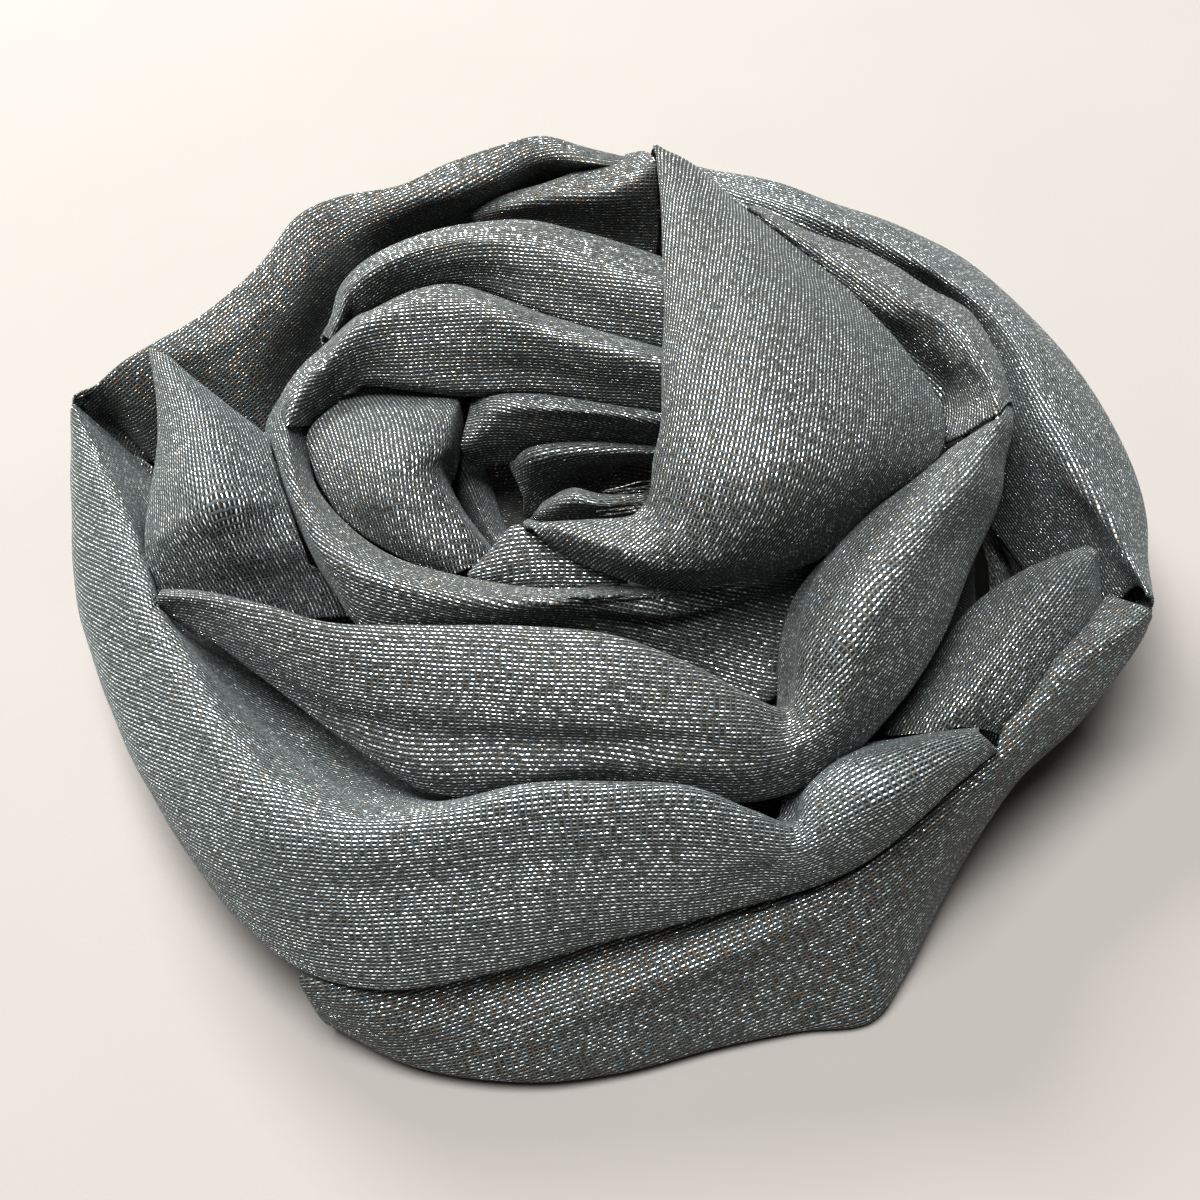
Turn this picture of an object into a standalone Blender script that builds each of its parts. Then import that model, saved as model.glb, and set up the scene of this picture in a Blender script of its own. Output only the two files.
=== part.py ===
"""A shimmer-woven scarf wound into a rosette and laid on a table.

Frame: metres, +Z up, the table is z = 0, the plan's middle is x = y = 0 and the side
that is seen first faces -Y. Every stretch of the scarf is one wall of cloth, lofted
through the sections in its table. The wound-up layers that nobody sees are one
rounded solid with a flat base and folded layers at its edge.
"""
import math

import bpy
import numpy as np
from mathutils import Vector
from mathutils.bvhtree import BVHTree

MM = 0.001

CLOTH_WALL = 1.1        # thickness of one doubled stretch of the cloth
THINNEST_WALL = 0.3     # where a fold closes to a point
FOLD_FILL = 0.36        # share of a fold's inside that each of its two sides takes
TIP_SHARE = 0.12        # wall at a pointed end, as a share of its width
FINE_ACROSS = 61        # points across a section while it is tucked in
FINE_ALONG = 3          # rows for each section while it is tucked in
SEAM = 0.34             # clear space kept where two stretches touch
LEAST_SEAM = 0.3        # least clear space between two walls
FACET_SLACKS = (0.0, 0.1, 0.2, 0.4, 0.6, 0.8)  # more of it, for the flats of a wall
EASE_ROUNDS = 12        # rounds in which a tight fold is made rounder
CORE_SEAM = 0.5         # clear space kept round the core
CORE_ROUNDS = 60        # rounds in which the core is lowered or drawn in
TABLE_LIFT = 0.25       # lowest edge of a stretch above the table

# Each stretch: name, names of its columns, the column that is seen, samples
# (along, across), sections.
# A section lists the points of the fold across the stretch, in mm (x, y, z).
# Sections run along the winding; columns run across it.

# Lowest band at the front: a strip below the outer band, a soft ridge, then the
# face that drops to the table. It ends in the pointed corner on the right.
SKIRT_FRONT = {
    "name": "skirt_front",
    "columns": ("tuck", "top", "ridge", "foot", "under"),
    "seen": "ridge",
    "samples": (24, 8),
    "sections": (
        ((-35.5, -49.5, 13), (-38, -54, 14), (-37, -55.5, 9), (-35.5, -55, 2), (-34, -51.5, 0)),
        ((-26, -52.5, 14), (-27.5, -57, 14), (-25.5, -60.5, 8), (-24, -61, 2), (-23, -56, 0)),
        ((-17, -50, 15), (-17.5, -55, 15), (-12, -60.5, 8), (-9, -63, 2), (-9, -58, 0)),
        ((-5.5, -47, 16), (-5, -52, 16), (0, -57, 11), (3, -61.5, 2), (2, -56.5, 0)),
        ((5, -44.5, 17), (6.5, -49, 17), (11.5, -52.5, 14), (15, -58, 2), (13, -53, 0)),
        ((15.5, -42, 18), (18, -46.5, 18), (22, -48.5, 17), (26, -55.5, 2), (23.5, -51.5, 0)),
        ((26, -39.5, 20), (29.5, -43.5, 20), (33, -44.5, 19), (35.5, -54, 2), (32.5, -50, 0)),
        ((33, -35.5, 22), (36.5, -39, 22), (40.5, -39.5, 20), (40.5, -48, 2), (37, -44.5, 0)),
        ((39.5, -30, 24), (43.5, -32.5, 24), (48, -34, 21), (47.5, -36, 5), (43.5, -33, 1)),
        ((47, -23.5, 26), (51.5, -25.5, 26), (55.5, -27.5, 23), (55.5, -25.5, 13), (50, -23, 4)),
        ((56.5, -14.5, 28), (60.5, -15.5, 28), (64.5, -17.5, 25), (65.5, -17.5, 17), (58.5, -15.5, 8)),
        ((67, -8, 27), (70, -8.5, 28), (73, -9, 26), (73.5, -8, 20), (67.5, -7, 13)),
        ((72.5, -5, 27), (74.5, -5, 28), (76, -4.5, 26), (76.5, -3, 23), (73.5, -3, 20)),
    ),
}

# Outer band: from the pointed corner on the left, round the front, down into a
# notch and on as a short pillow on the right.
FRONT_BAND_OUTER = {
    "name": "front_band_outer",
    "columns": ("tuck", "inner", "crest", "face", "turn", "hem"),
    "seen": "face",
    "samples": (34, 10),
    "sections": (
        ((-74.5, 29.5, 27), (-76, 30, 29), (-76.5, 29, 31),
         (-77.5, 29.5, 29), (-78.5, 31.5, 24), (-77, 31, 20)),
        ((-67.5, 23, 23), (-70, 23.5, 26), (-72.5, 20, 31), (-76, 20, 27), (-78, 21, 17), (-75, 20, 9)),
        ((-60.5, 10, 25), (-63.5, 10.5, 28), (-65.5, 5.5, 33),
         (-72.5, 2, 26), (-74.5, 4.5, 14), (-70.5, 4.5, 6)),
        ((-56, -5, 26), (-59, -5.5, 29), (-58.5, -11, 34),
         (-65.5, -16.5, 26), (-67.5, -13.5, 12), (-62.5, -12, 5)),
        ((-47.5, -12.5, 25), (-51.5, -14, 28), (-50.5, -24, 34),
         (-57.5, -31.5, 26), (-58, -30, 11), (-54, -27, 5)),
        ((-37, -18, 24), (-40.5, -21.5, 27), (-41.5, -37, 34),
         (-46.5, -43.5, 27), (-46.5, -45.5, 12), (-42.5, -40, 7)),
        ((-27.5, -24, 23), (-30.5, -29, 26), (-31, -43.5, 35),
         (-35.5, -49.5, 28), (-37, -54, 15), (-34.5, -48.5, 12)),
        ((-20.5, -30, 23), (-21.5, -35, 26), (-20, -43.5, 36),
         (-24.5, -51, 28), (-25.5, -57.5, 17), (-24.5, -52.5, 15)),
        ((-10, -33, 26), (-10, -36, 29), (-9, -41.5, 38),
         (-11.5, -49.5, 29), (-12.5, -55.5, 18), (-12, -50.5, 16)),
        ((0, -33, 27), (0.5, -36, 30), (1, -41, 38), (0, -48, 30), (0, -52, 19), (-1, -47, 17)),
        ((9.5, -34, 27), (10.5, -36.5, 30), (11, -41, 37),
         (10.5, -46.5, 30), (11.5, -49.5, 20), (9.5, -45, 18)),
        ((17, -36, 25), (19, -38.5, 28), (18.5, -42.5, 34),
         (18.5, -46, 29), (20, -47, 20), (17.5, -42.5, 18)),
        ((22.5, -36.5, 23), (24.5, -39, 26), (24, -42.5, 31),
         (24.5, -46, 28), (27.5, -45, 21), (24.5, -41, 19)),
        ((24, -32, 24), (26, -34.5, 27), (26, -38.5, 33),
         (30.5, -43, 32), (34, -42.5, 23), (30.5, -39, 21)),
        ((29, -27.5, 25), (31.5, -29.5, 28), (31.5, -35.5, 35),
         (36.5, -40, 34), (40.5, -38, 25), (37, -35, 23)),
        ((38, -25.5, 25), (40.5, -27, 28), (40, -32.5, 34),
         (42.5, -35, 33), (46, -33, 26), (41.5, -30.5, 24)),
        ((46, -23.5, 24), (49, -25, 27), (48.5, -28.5, 31),
         (50, -29.5, 30), (51.5, -28, 26), (48, -26.5, 24)),
    ),
}

# Second band at the front. After its notch it stands up as the fat tube on the right.
FRONT_BAND_SECOND = {
    "name": "front_band_second",
    "columns": ("tuck", "inner", "crest", "face", "turn", "hem"),
    "seen": "face",
    "samples": (32, 10),
    "sections": (
        ((-57, -7.5, 32), (-58, -7.5, 34), (-58, -10, 36),
         (-58.5, -10, 34), (-58.5, -9, 31), (-56.5, -8.5, 29)),
        ((-50, -9, 32), (-52, -9.5, 36), (-51, -13, 39),
         (-51, -13.5, 36), (-50.5, -14.5, 31), (-48, -13.5, 29)),
        ((-42, -13, 35), (-43.5, -14, 39), (-43, -17, 42),
         (-43, -20, 38), (-42, -22, 31), (-39, -19.5, 29)),
        ((-32.5, -18, 38), (-34, -19.5, 42), (-33, -22.5, 45),
         (-33, -27, 40), (-32, -30, 31), (-30, -26.5, 29)),
        ((-21.5, -19.5, 40), (-22.5, -21.5, 44), (-22, -24.5, 47),
         (-22, -31, 42), (-21.5, -37, 31), (-20, -33.5, 29)),
        ((-10, -20, 41), (-10, -22, 45), (-10, -25.5, 48), (-9.5, -33, 43), (-10, -38, 32), (-10, -34, 29)),
        ((0.5, -21.5, 41), (1.5, -23.5, 45), (1, -26.5, 48), (0, -34.5, 43), (0, -37, 32), (-1, -33, 29)),
        ((10.5, -24.5, 38), (11.5, -26, 42), (10.5, -29, 45),
         (9.5, -35.5, 41), (10, -38, 32), (8, -34, 29)),
        ((17.5, -27, 35), (18.5, -28.5, 39), (18, -31, 41),
         (17.5, -36, 38), (18, -37.5, 29), (16, -34, 26)),
        ((22, -26, 32), (23.5, -27.5, 35), (23, -30, 37),
         (23.5, -34.5, 35), (24.5, -35.5, 28), (22, -32.5, 25)),
        ((23, -22, 31), (24.5, -23, 35), (25, -27, 39),
         (29.5, -31, 39), (31.5, -31.5, 29), (28.5, -29, 26)),
        ((23.5, -16, 33), (25.5, -17, 37), (25.5, -21.5, 42),
         (32, -26, 45), (39.5, -23, 32), (35.5, -20.5, 28)),
        ((26.5, -7.5, 35), (28.5, -8.5, 39), (28.5, -13.5, 44),
         (35.5, -20, 48), (45.5, -13.5, 33), (40, -12, 29)),
        ((33.5, 0.5, 36), (35.5, 0.5, 40), (35.5, -5, 45),
         (41.5, -9.5, 48), (50.5, -2.5, 34), (44.5, -2, 30)),
        ((42, 8, 37), (44, 8, 41), (44, 3.5, 45), (47.5, 0.5, 47), (54.5, 7.5, 36), (49.5, 7, 32)),
        ((50, 15.5, 38), (52, 15.5, 41), (52, 12.5, 44), (54, 12.5, 44), (56, 15.5, 38), (52.5, 15, 35)),
    ),
}

# Roll behind the big petal, from the tube's corner to the back.
BACK_RIGHT_ROLL = {
    "name": "back_right_roll",
    "columns": ("tuck", "turn", "face", "crest", "outer", "hem"),
    "seen": "crest",
    "samples": (15, 9),
    "sections": (
        ((47.5, 17, 35), (49.5, 17.5, 37), (52, 17, 41), (54.5, 16, 45), (57, 20, 41), (58, 20, 36)),
        ((49, 26.5, 36), (50.5, 27, 38), (52, 23.5, 42), (53, 21.5, 46), (56.5, 25.5, 42), (57.5, 26, 37)),
        ((47, 31, 37), (49, 31.5, 39), (49.5, 29, 43), (50, 27, 47), (53.5, 33, 43), (54.5, 33.5, 38)),
        ((38.5, 34.5, 38), (40.5, 35.5, 40), (41.5, 34, 44),
         (42.5, 33, 48), (47.5, 40.5, 43), (48.5, 41, 38)),
        ((32.5, 40, 39), (34, 41.5, 41), (35, 40, 45), (36, 40, 48), (40.5, 46.5, 43), (41.5, 47.5, 38)),
        ((26, 48, 40), (27.5, 49.5, 42), (28, 48, 45), (28.5, 46.5, 48), (31, 52.5, 43), (31.5, 53, 39)),
        ((19.5, 55, 40), (20.5, 57, 42), (21, 55, 45), (22, 54.5, 46.5), (23, 58.5, 43), (23.5, 59, 40)),
        ((13.5, 61, 40), (14, 62, 42), (14.5, 61, 44), (15.5, 60.5, 45), (16.5, 64, 42), (16.5, 64.5, 40)),
    ),
}

# Outer ring on the right, from behind the petal's top to the pointed corner.
RIGHT_RING = {
    "name": "right_ring",
    "columns": ("tuck", "inner", "crest", "outer", "flank", "foot"),
    "seen": "crest",
    "samples": (24, 9),
    "sections": (
        ((4, 65, 29), (4, 67, 32.5), (4.5, 69.5, 34), (5, 72.5, 32.5), (5, 74.5, 28), (4.5, 74.5, 23)),
        ((14.5, 63, 30), (15, 64, 33), (15.5, 67, 36),
         (16, 70, 34.5), (17, 72.5, 26.5), (16.5, 71.5, 17.5)),
        ((25, 60.5, 38), (25.5, 61.5, 41), (26, 61.5, 43), (27.5, 66, 41), (28.5, 67.5, 32), (28, 67, 23)),
        ((32, 53, 38), (33, 53.5, 41), (34, 54.5, 44), (36, 62.5, 40), (38, 65, 31), (37.5, 64, 22)),
        ((41, 49, 36), (41.5, 49.5, 39), (42.5, 50.5, 43),
         (46.5, 59, 38), (48.5, 61.5, 29), (48, 60.5, 20)),
        ((48.5, 45, 34), (49.5, 45.5, 37), (50.5, 44.5, 42), (55.5, 54, 36), (58, 55.5, 27), (57, 55, 18)),
        ((55, 37, 33), (56, 37.5, 36), (58, 36.5, 41), (64, 44, 34), (65.5, 45, 25), (64, 44, 16)),
        ((57.5, 28.5, 32), (58.5, 29, 35), (62, 27, 40), (70, 35, 32), (70.5, 35.5, 24), (69, 34.5, 15)),
        ((58, 21, 29), (59, 21, 32), (64.5, 17.5, 38), (74, 27, 30), (74, 27, 22), (71, 26, 13)),
        ((62, 14, 27), (63, 14, 30), (67.5, 11, 35), (76.5, 19, 28), (76.5, 19, 21), (73.5, 18.5, 13)),
        ((66.5, 9, 25), (67.5, 9, 28), (70.5, 5.5, 33), (77.5, 12, 26), (77.5, 12, 20), (74.5, 12, 12)),
        ((70, 3, 24), (71, 3, 27), (72.5, 0, 31), (76.5, 4, 26), (76.5, 4, 21), (73.5, 4, 16)),
        ((72.5, -1, 23), (73.5, -1, 26), (74, -5, 30),
         (75.5, -4.5, 28), (75.5, -4.5, 25), (73.5, -4.5, 22)),
    ),
}

# Lobe in the dark hollow between the tube and the outer ring.
RIGHT_LOBE = {
    "name": "right_lobe",
    "columns": ("tuck", "left", "crest", "right", "hem"),
    "seen": "crest",
    "samples": (11, 8),
    "sections": (
        ((66, 6.5, 23), (68, 6.5, 26), (69, 4, 28), (70, 4.5, 26), (71, 4.5, 21)),
        ((57.5, 2, 24), (59.5, 1.5, 27), (62.5, -3, 31), (67, -4, 27), (68, -4, 21)),
        ((49.5, -5.5, 24), (51, -5.5, 27), (56, -11.5, 32), (62, -12.5, 27), (63, -12.5, 21)),
        ((43, -14.5, 23), (45, -15, 26), (50.5, -18.5, 31), (56, -20, 27), (57, -20, 21)),
        ((38, -21, 21), (39.5, -22, 24), (46, -24, 29), (52.5, -23.5, 25), (53.5, -24, 20)),
        ((36.5, -24, 18), (38, -25, 21), (44, -26.5, 25), (49.5, -25.5, 22), (50.5, -26, 18)),
    ),
}

# Outer ring round the back left, seen from inside.
BACK_RING = {
    "name": "back_ring",
    "columns": ("tuck", "low", "face", "crest", "outer", "flank", "foot"),
    "seen": "crest",
    "samples": (24, 9),
    "sections": (
        ((-70.5, 31.5, 19), (-71.5, 32, 22), (-72.5, 32, 28), (-73, 31, 33),
         (-74.5, 32, 30), (-75, 32, 24), (-74, 31.5, 18)),
        ((-64, 27.5, 18), (-66, 28, 21), (-67.5, 32.5, 28), (-68.5, 33, 35.5),
         (-70.5, 33.5, 33), (-71.5, 34, 26), (-70.5, 33.5, 18)),
        ((-57, 28.5, 21), (-58.5, 29.5, 24), (-61.5, 35, 31), (-64, 35.5, 37),
         (-65.5, 36.5, 34.5), (-66.5, 37, 27.5), (-65.5, 36.5, 19.5)),
        ((-48.5, 28.5, 22), (-50, 29.5, 25), (-53.5, 36.5, 32), (-56.5, 39.5, 39),
         (-58, 40.5, 36.5), (-59, 41.5, 28.5), (-58.5, 41, 19.5)),
        ((-43.5, 38, 23), (-45, 39.5, 26), (-47, 43.5, 34), (-49.5, 47, 41),
         (-51, 48.5, 38.5), (-52, 49.5, 30.5), (-51.5, 49, 21.5)),
        ((-38.5, 47, 26), (-39.5, 48.5, 29), (-41.5, 53, 36), (-44.5, 55.5, 43),
         (-46, 57, 40.5), (-46.5, 58.5, 32.5), (-46, 57.5, 23.5)),
        ((-32, 56.5, 29), (-32.5, 58, 32), (-36, 59, 38), (-38.5, 60.5, 43),
         (-39, 62, 40.5), (-40, 63.5, 32.5), (-39.5, 62.5, 23.5)),
        ((-25.5, 60, 31), (-26, 62, 34), (-28.5, 62, 40), (-30, 62, 44),
         (-30.5, 63.5, 41.5), (-31, 65, 33.5), (-31, 64, 24.5)),
        ((-19.5, 61.5, 32), (-20, 63.5, 35), (-21.5, 63.5, 41), (-23.5, 65, 45),
         (-24, 67, 42.5), (-24, 68.5, 34.5), (-24, 67.5, 25.5)),
        ((-14, 63.5, 34), (-14, 65.5, 37), (-15, 66.5, 42), (-16, 68, 46),
         (-16, 70, 43.5), (-16, 71.5, 35.5), (-16, 70.5, 26.5)),
        ((-8, 68, 34), (-8, 70, 37), (-8.5, 70, 42), (-9, 70.5, 46),
         (-9, 72.5, 43.5), (-9, 74, 35.5), (-9, 73, 26.5)),
        ((-3, 64, 39.5), (-2.5, 66, 42.5), (-2.5, 66.5, 44.5), (-2.5, 68, 46),
         (-2, 70, 43.5), (-2, 71.5, 35.5), (-2, 70.5, 26.5)),
        ((2, 66, 38), (2.5, 66.5, 41), (3.5, 66.5, 43.5), (4.5, 67.5, 44.5),
         (4.5, 69.5, 42), (5, 70.5, 35), (4.5, 69.5, 27)),
    ),
}

# Short ridge between the outer ring and the upper roll.
BACK_RIDGE = {
    "name": "back_ridge",
    "columns": ("tuck", "low", "crest", "upper", "hem"),
    "seen": "crest",
    "samples": (11, 8),
    "sections": (
        ((-21.5, 57, 37), (-22, 58, 39), (-22.5, 58.5, 41.5), (-23.5, 64, 39), (-23.5, 64.5, 36)),
        ((-14, 57.5, 37), (-14, 58.5, 40), (-15, 58.5, 43.5), (-15.5, 64.5, 40.5), (-15.5, 65.5, 37.5)),
        ((-6, 56.5, 37.5), (-6, 57.5, 40.5), (-7, 57.5, 46), (-8, 65, 42), (-7.5, 66, 39)),
        ((1, 55, 36), (1, 56, 39), (0, 56, 48), (-1.5, 66.5, 44), (-1.5, 67.5, 41)),
        ((5.5, 55, 36), (6, 56, 39), (5.5, 57.5, 49), (3.5, 66.5, 46), (3.5, 67.5, 43)),
        ((9, 55.5, 37), (9.5, 56.5, 40), (9, 60.5, 49), (8.5, 67, 47), (8.5, 68, 44)),
    ),
}

# Petal on the left with its point at the back.
LEFT_PETAL = {
    "name": "left_petal",
    "columns": ("underleft", "left", "mid", "right", "underright"),
    "seen": "mid",
    "samples": (12, 9),
    "sections": (
        ((-63.5, 31, 36.5), (-64, 31, 39.5), (-61.5, 27, 42.5), (-59.5, 27, 40), (-60.5, 27.5, 37)),
        ((-60.5, 21.5, 36), (-62, 22.5, 40), (-56.5, 17.5, 45), (-53.5, 21, 41), (-52.5, 23, 37)),
        ((-58, 14, 34), (-61, 14.5, 39), (-52.5, 7.5, 47), (-46, 13.5, 41), (-44, 14.5, 36)),
        ((-58, 7, 33), (-61, 7.5, 38), (-50.5, -1.5, 47), (-41, 5.5, 40), (-39, 5.5, 35)),
        ((-58, 0.5, 31), (-61, 0, 36), (-50, -6.5, 42), (-37.5, -2.5, 38), (-35.5, -2.5, 34)),
        ((-57.5, -3, 27.5), (-60.5, -3.5, 31.5), (-50, -7, 33.5), (-36, -6, 33), (-34, -6, 30)),
    ),
}

# Inner band at the front, which starts on the left of the rolls.
FRONT_BAND_INNER = {
    "name": "front_band_inner",
    "columns": ("tuck", "inner", "crest", "face", "turn", "hem"),
    "seen": "crest",
    "samples": (25, 9),
    "sections": (
        ((-38, 22.5, 40), (-38.5, 23, 43), (-40.5, 20, 45),
         (-42.5, 20.5, 43), (-44.5, 24.5, 38), (-44, 24, 35)),
        ((-40, 17, 39), (-41, 17, 42), (-42.5, 13, 45),
         (-44.5, 14.5, 42), (-46.5, 18, 37), (-45.5, 17.5, 34)),
        ((-39.5, 10.5, 38), (-40.5, 10.5, 41), (-41.5, 7, 44),
         (-43, 8.5, 41), (-44.5, 11.5, 36), (-43.5, 11.5, 33)),
        ((-37, 4.5, 37), (-38, 4.5, 40), (-39, 0, 44), (-40, 0.5, 41), (-41, 3.5, 35), (-40, 3.5, 32)),
        ((-32.5, -1.5, 37), (-33.5, -1.5, 40), (-34.5, -7.5, 44),
         (-35, -8.5, 41), (-35.5, -8.5, 35), (-33.5, -7.5, 32)),
        ((-26.5, -6, 37), (-27.5, -6.5, 40), (-28, -13.5, 45),
         (-29, -14.5, 41), (-30, -15, 35), (-29, -13.5, 32)),
        ((-20, -9, 37), (-20.5, -9.5, 40), (-20, -16.5, 45),
         (-20.5, -16.5, 41), (-20.5, -16, 36), (-20, -14.5, 33)),
        ((-11.5, -10.5, 37), (-11.5, -11.5, 40), (-11.5, -18, 45),
         (-11.5, -17.5, 41), (-11.5, -16, 36), (-11.5, -14, 33)),
        ((-4, -11, 37), (-4, -12, 40), (-4, -18, 45), (-4, -17.5, 41), (-3, -16.5, 35), (-4, -14.5, 32)),
        ((2.5, -8, 35.5), (3.5, -9, 37), (5, -14.5, 41.5),
         (5.5, -15.5, 37), (6, -16.5, 31), (4.5, -15, 28)),
        ((12, -5.5, 33.5), (13.5, -6.5, 35), (14, -11, 38.5),
         (14.5, -13.5, 34), (14.5, -19, 28.5), (13, -17.5, 25.5)),
        ((21, -2.5, 31.5), (22, -3, 33), (22.5, -8, 36.5),
         (22, -12, 32.5), (21.5, -20.5, 27.5), (20, -19.5, 24.5)),
        ((28.5, 0, 30), (29.5, 0, 32), (29.5, -4.5, 35), (28, -8.5, 31.5), (26, -16, 27), (24.5, -15, 24)),
    ),
}

# Full lobe on the left of the eye.
INNER_LEFT_LOBE = {
    "name": "inner_left_lobe",
    "columns": ("left", "mid", "right", "eyeside", "hem"),
    "seen": "mid",
    "samples": (13, 8),
    "sections": (
        ((-41, 21.5, 39), (-31.5, 27.5, 36), (-21, 27.5, 36), (-20, 30.5, 32), (-20, 30.5, 29)),
        ((-40.5, 14.5, 41), (-30.5, 16, 43), (-21, 16, 43), (-19.5, 22, 36), (-19.5, 22, 32)),
        ((-39, 9, 40), (-29, 6.5, 46), (-21, 9, 44), (-20, 14.5, 37), (-20, 14.5, 33)),
        ((-37, 4.5, 38), (-28.5, 1, 44), (-22, 5.5, 43), (-21, 11, 36), (-21, 11, 32)),
        ((-32, -0.5, 37), (-25, -2.5, 41), (-20, 1.5, 41), (-19, 7, 34), (-19, 7, 31)),
        ((-25.5, -4.5, 36), (-21, -5, 39), (-16.5, -2, 38), (-15.5, 2, 33), (-15.5, 2, 31)),
        ((-19.5, -7, 36), (-17.5, -6.5, 37), (-13.5, -3.5, 35), (-13, -2, 33), (-13, -2, 31)),
    ),
}

# Upper of the rolls behind the eye.
BACK_ROLL_UPPER = {
    "name": "back_roll_upper",
    "columns": ("hem", "low", "crest", "up", "tuck"),
    "seen": "crest",
    "samples": (16, 9),
    "sections": (
        ((-36.5, 37.5, 36.5), (-36.5, 37.5, 38.5), (-37, 34.5, 43), (-39, 38, 40), (-39, 38, 36)),
        ((-35, 39.5, 38), (-35, 39.5, 41), (-35.5, 37.5, 46), (-37.5, 41.5, 43), (-38, 42.5, 36)),
        ((-29.5, 42, 39), (-29.5, 42, 42), (-30.5, 39.5, 49), (-33, 45.5, 45), (-33.5, 46, 36)),
        ((-23, 44, 40), (-23, 44, 43), (-23.5, 41.5, 51), (-25.5, 49, 46), (-26, 51, 35)),
        ((-17, 43, 40), (-17, 43, 43), (-16.5, 40, 53), (-17.5, 50, 47), (-18, 52, 35)),
        ((-11, 38.5, 40), (-11, 38.5, 43), (-10, 39.5, 53), (-10, 50.5, 47), (-10, 52.5, 35)),
        ((-3, 34.5, 40), (-3, 34.5, 43), (-3, 36, 53), (-2.5, 48, 47), (-2.5, 50, 35)),
        ((3.5, 31.5, 40), (3.5, 31.5, 43), (3.5, 33, 53), (4, 45, 47), (4.5, 46.5, 35)),
        ((10, 29.5, 40), (10, 29.5, 43), (10, 31.5, 52), (10.5, 43, 46), (11.5, 44.5, 35)),
    ),
}

# Middle roll behind the eye.
BACK_ROLL_MIDDLE = {
    "name": "back_roll_middle",
    "columns": ("hem", "low", "crest", "up", "tuck"),
    "seen": "crest",
    "samples": (16, 9),
    "sections": (
        ((-38, 23.5, 36.5), (-38, 23.5, 39.5), (-37.5, 24, 45), (-37.5, 30.5, 42), (-38.5, 31, 38)),
        ((-35.5, 25, 38), (-35.5, 25, 41), (-34.5, 26, 48.5), (-35, 34, 43.5), (-35.5, 35, 39.5)),
        ((-33, 26, 38), (-33, 26, 41), (-32, 26.5, 50), (-32, 35.5, 44), (-32.5, 36.5, 40)),
        ((-26, 26, 37), (-26, 26, 40), (-26, 29, 51), (-27, 39, 44), (-27.5, 40, 40)),
        ((-20, 26, 36), (-20, 26, 39), (-20, 29.5, 51), (-21.5, 40.5, 44), (-21.5, 41.5, 40)),
        ((-13.5, 26, 36), (-13.5, 26, 39), (-13.5, 27, 51), (-14.5, 38, 44), (-14.5, 39, 40)),
        ((-7, 25.5, 36), (-7, 25.5, 39), (-7, 24.5, 50), (-7.5, 34.5, 44), (-7.5, 35.5, 40)),
        ((0.5, 23.5, 36), (0.5, 23.5, 39), (1, 21.5, 50), (1, 31, 44), (1.5, 32, 40)),
        ((10, 21.5, 36), (10, 21.5, 39), (9.5, 19.5, 49), (10, 27.5, 44), (10.5, 28.5, 40)),
    ),
}

# Lower roll behind the eye.
BACK_ROLL_LOWER = {
    "name": "back_roll_lower",
    "columns": ("hem", "low", "crest", "up", "tuck"),
    "seen": "crest",
    "samples": (10, 8),
    "sections": (
        ((-21, 18.5, 30), (-21, 18.5, 33), (-19.5, 22, 37), (-19, 29.5, 34), (-19, 29.5, 31)),
        ((-16, 20, 30), (-16, 20, 33), (-14, 19, 42), (-14, 27.5, 36), (-14, 28.5, 33)),
        ((-7, 21.5, 30), (-7, 21.5, 33), (-7, 17.5, 43), (-7, 26, 37), (-7, 27, 34)),
        ((0.5, 21, 30), (0.5, 21, 33), (0.5, 16.5, 43), (0.5, 24.5, 37), (1, 25.5, 34)),
        ((10, 20.5, 30), (10, 20.5, 33), (9.5, 16, 42), (10, 23, 37), (10.5, 23.5, 34)),
    ),
}

# Deepest roll behind the eye.
BACK_ROLL_DEEP = {
    "name": "back_roll_deep",
    "columns": ("hem", "low", "crest", "up", "tuck"),
    "seen": "crest",
    "samples": (8, 8),
    "sections": (
        ((-11, 15.5, 23), (-11, 15.5, 26), (-13, 18, 30), (-13.5, 23.5, 28), (-13.5, 23.5, 25)),
        ((-8.5, 16, 24), (-8.5, 16, 27), (-9, 14.5, 36), (-9.5, 22, 31), (-9.5, 23, 28)),
        ((-0.5, 18, 24), (-0.5, 18, 27), (-1.5, 14.5, 37), (-1.5, 21.5, 32), (-1, 22, 29)),
        ((9.5, 20.5, 24), (9.5, 20.5, 27), (9, 15, 36), (9.5, 21, 32), (10, 22, 29)),
    ),
}

# Last turn of the cloth, curled up in the eye.
EYE_CURL = {
    "name": "eye_curl",
    "columns": ("hem", "low", "crest", "up", "tuck"),
    "seen": "crest",
    "samples": (8, 8),
    "sections": (
        ((-11, 9.5, 24), (-11, 9.5, 26), (-9, 9.5, 30), (-8, 14, 27), (-8, 15, 24)),
        ((-5.5, 8, 26), (-5.5, 8, 28), (-4, 6.5, 36), (-4, 13, 31), (-4, 14, 28)),
        ((0.5, 8, 26), (0.5, 8, 28), (0.5, 5.5, 36), (0.5, 11, 32), (0.5, 12, 29)),
        ((7.5, 9.5, 26), (7.5, 9.5, 28), (7, 8, 34), (6.5, 12, 31), (6.5, 13, 28)),
    ),
}

# Tongue of cloth that goes down into the eye.
EYE_TONGUE = {
    "name": "eye_tongue",
    "columns": ("left", "crest", "right", "hem"),
    "seen": "crest",
    "samples": (8, 7),
    "sections": (
        ((-22, 23.5, 27), (-20, 20.5, 30), (-18, 24.5, 26), (-17, 24.5, 23)),
        ((-20.5, 14.5, 29), (-18, 11.5, 33), (-15.5, 16, 28), (-14.5, 16, 25)),
        ((-18, 8, 29), (-16, 4.5, 34), (-13.5, 8.5, 29), (-12.5, 8.5, 26)),
        ((-15, 1.5, 30), (-13.5, -0.5, 34), (-11.5, 3.5, 30), (-10.5, 3.5, 27)),
    ),
}

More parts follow.
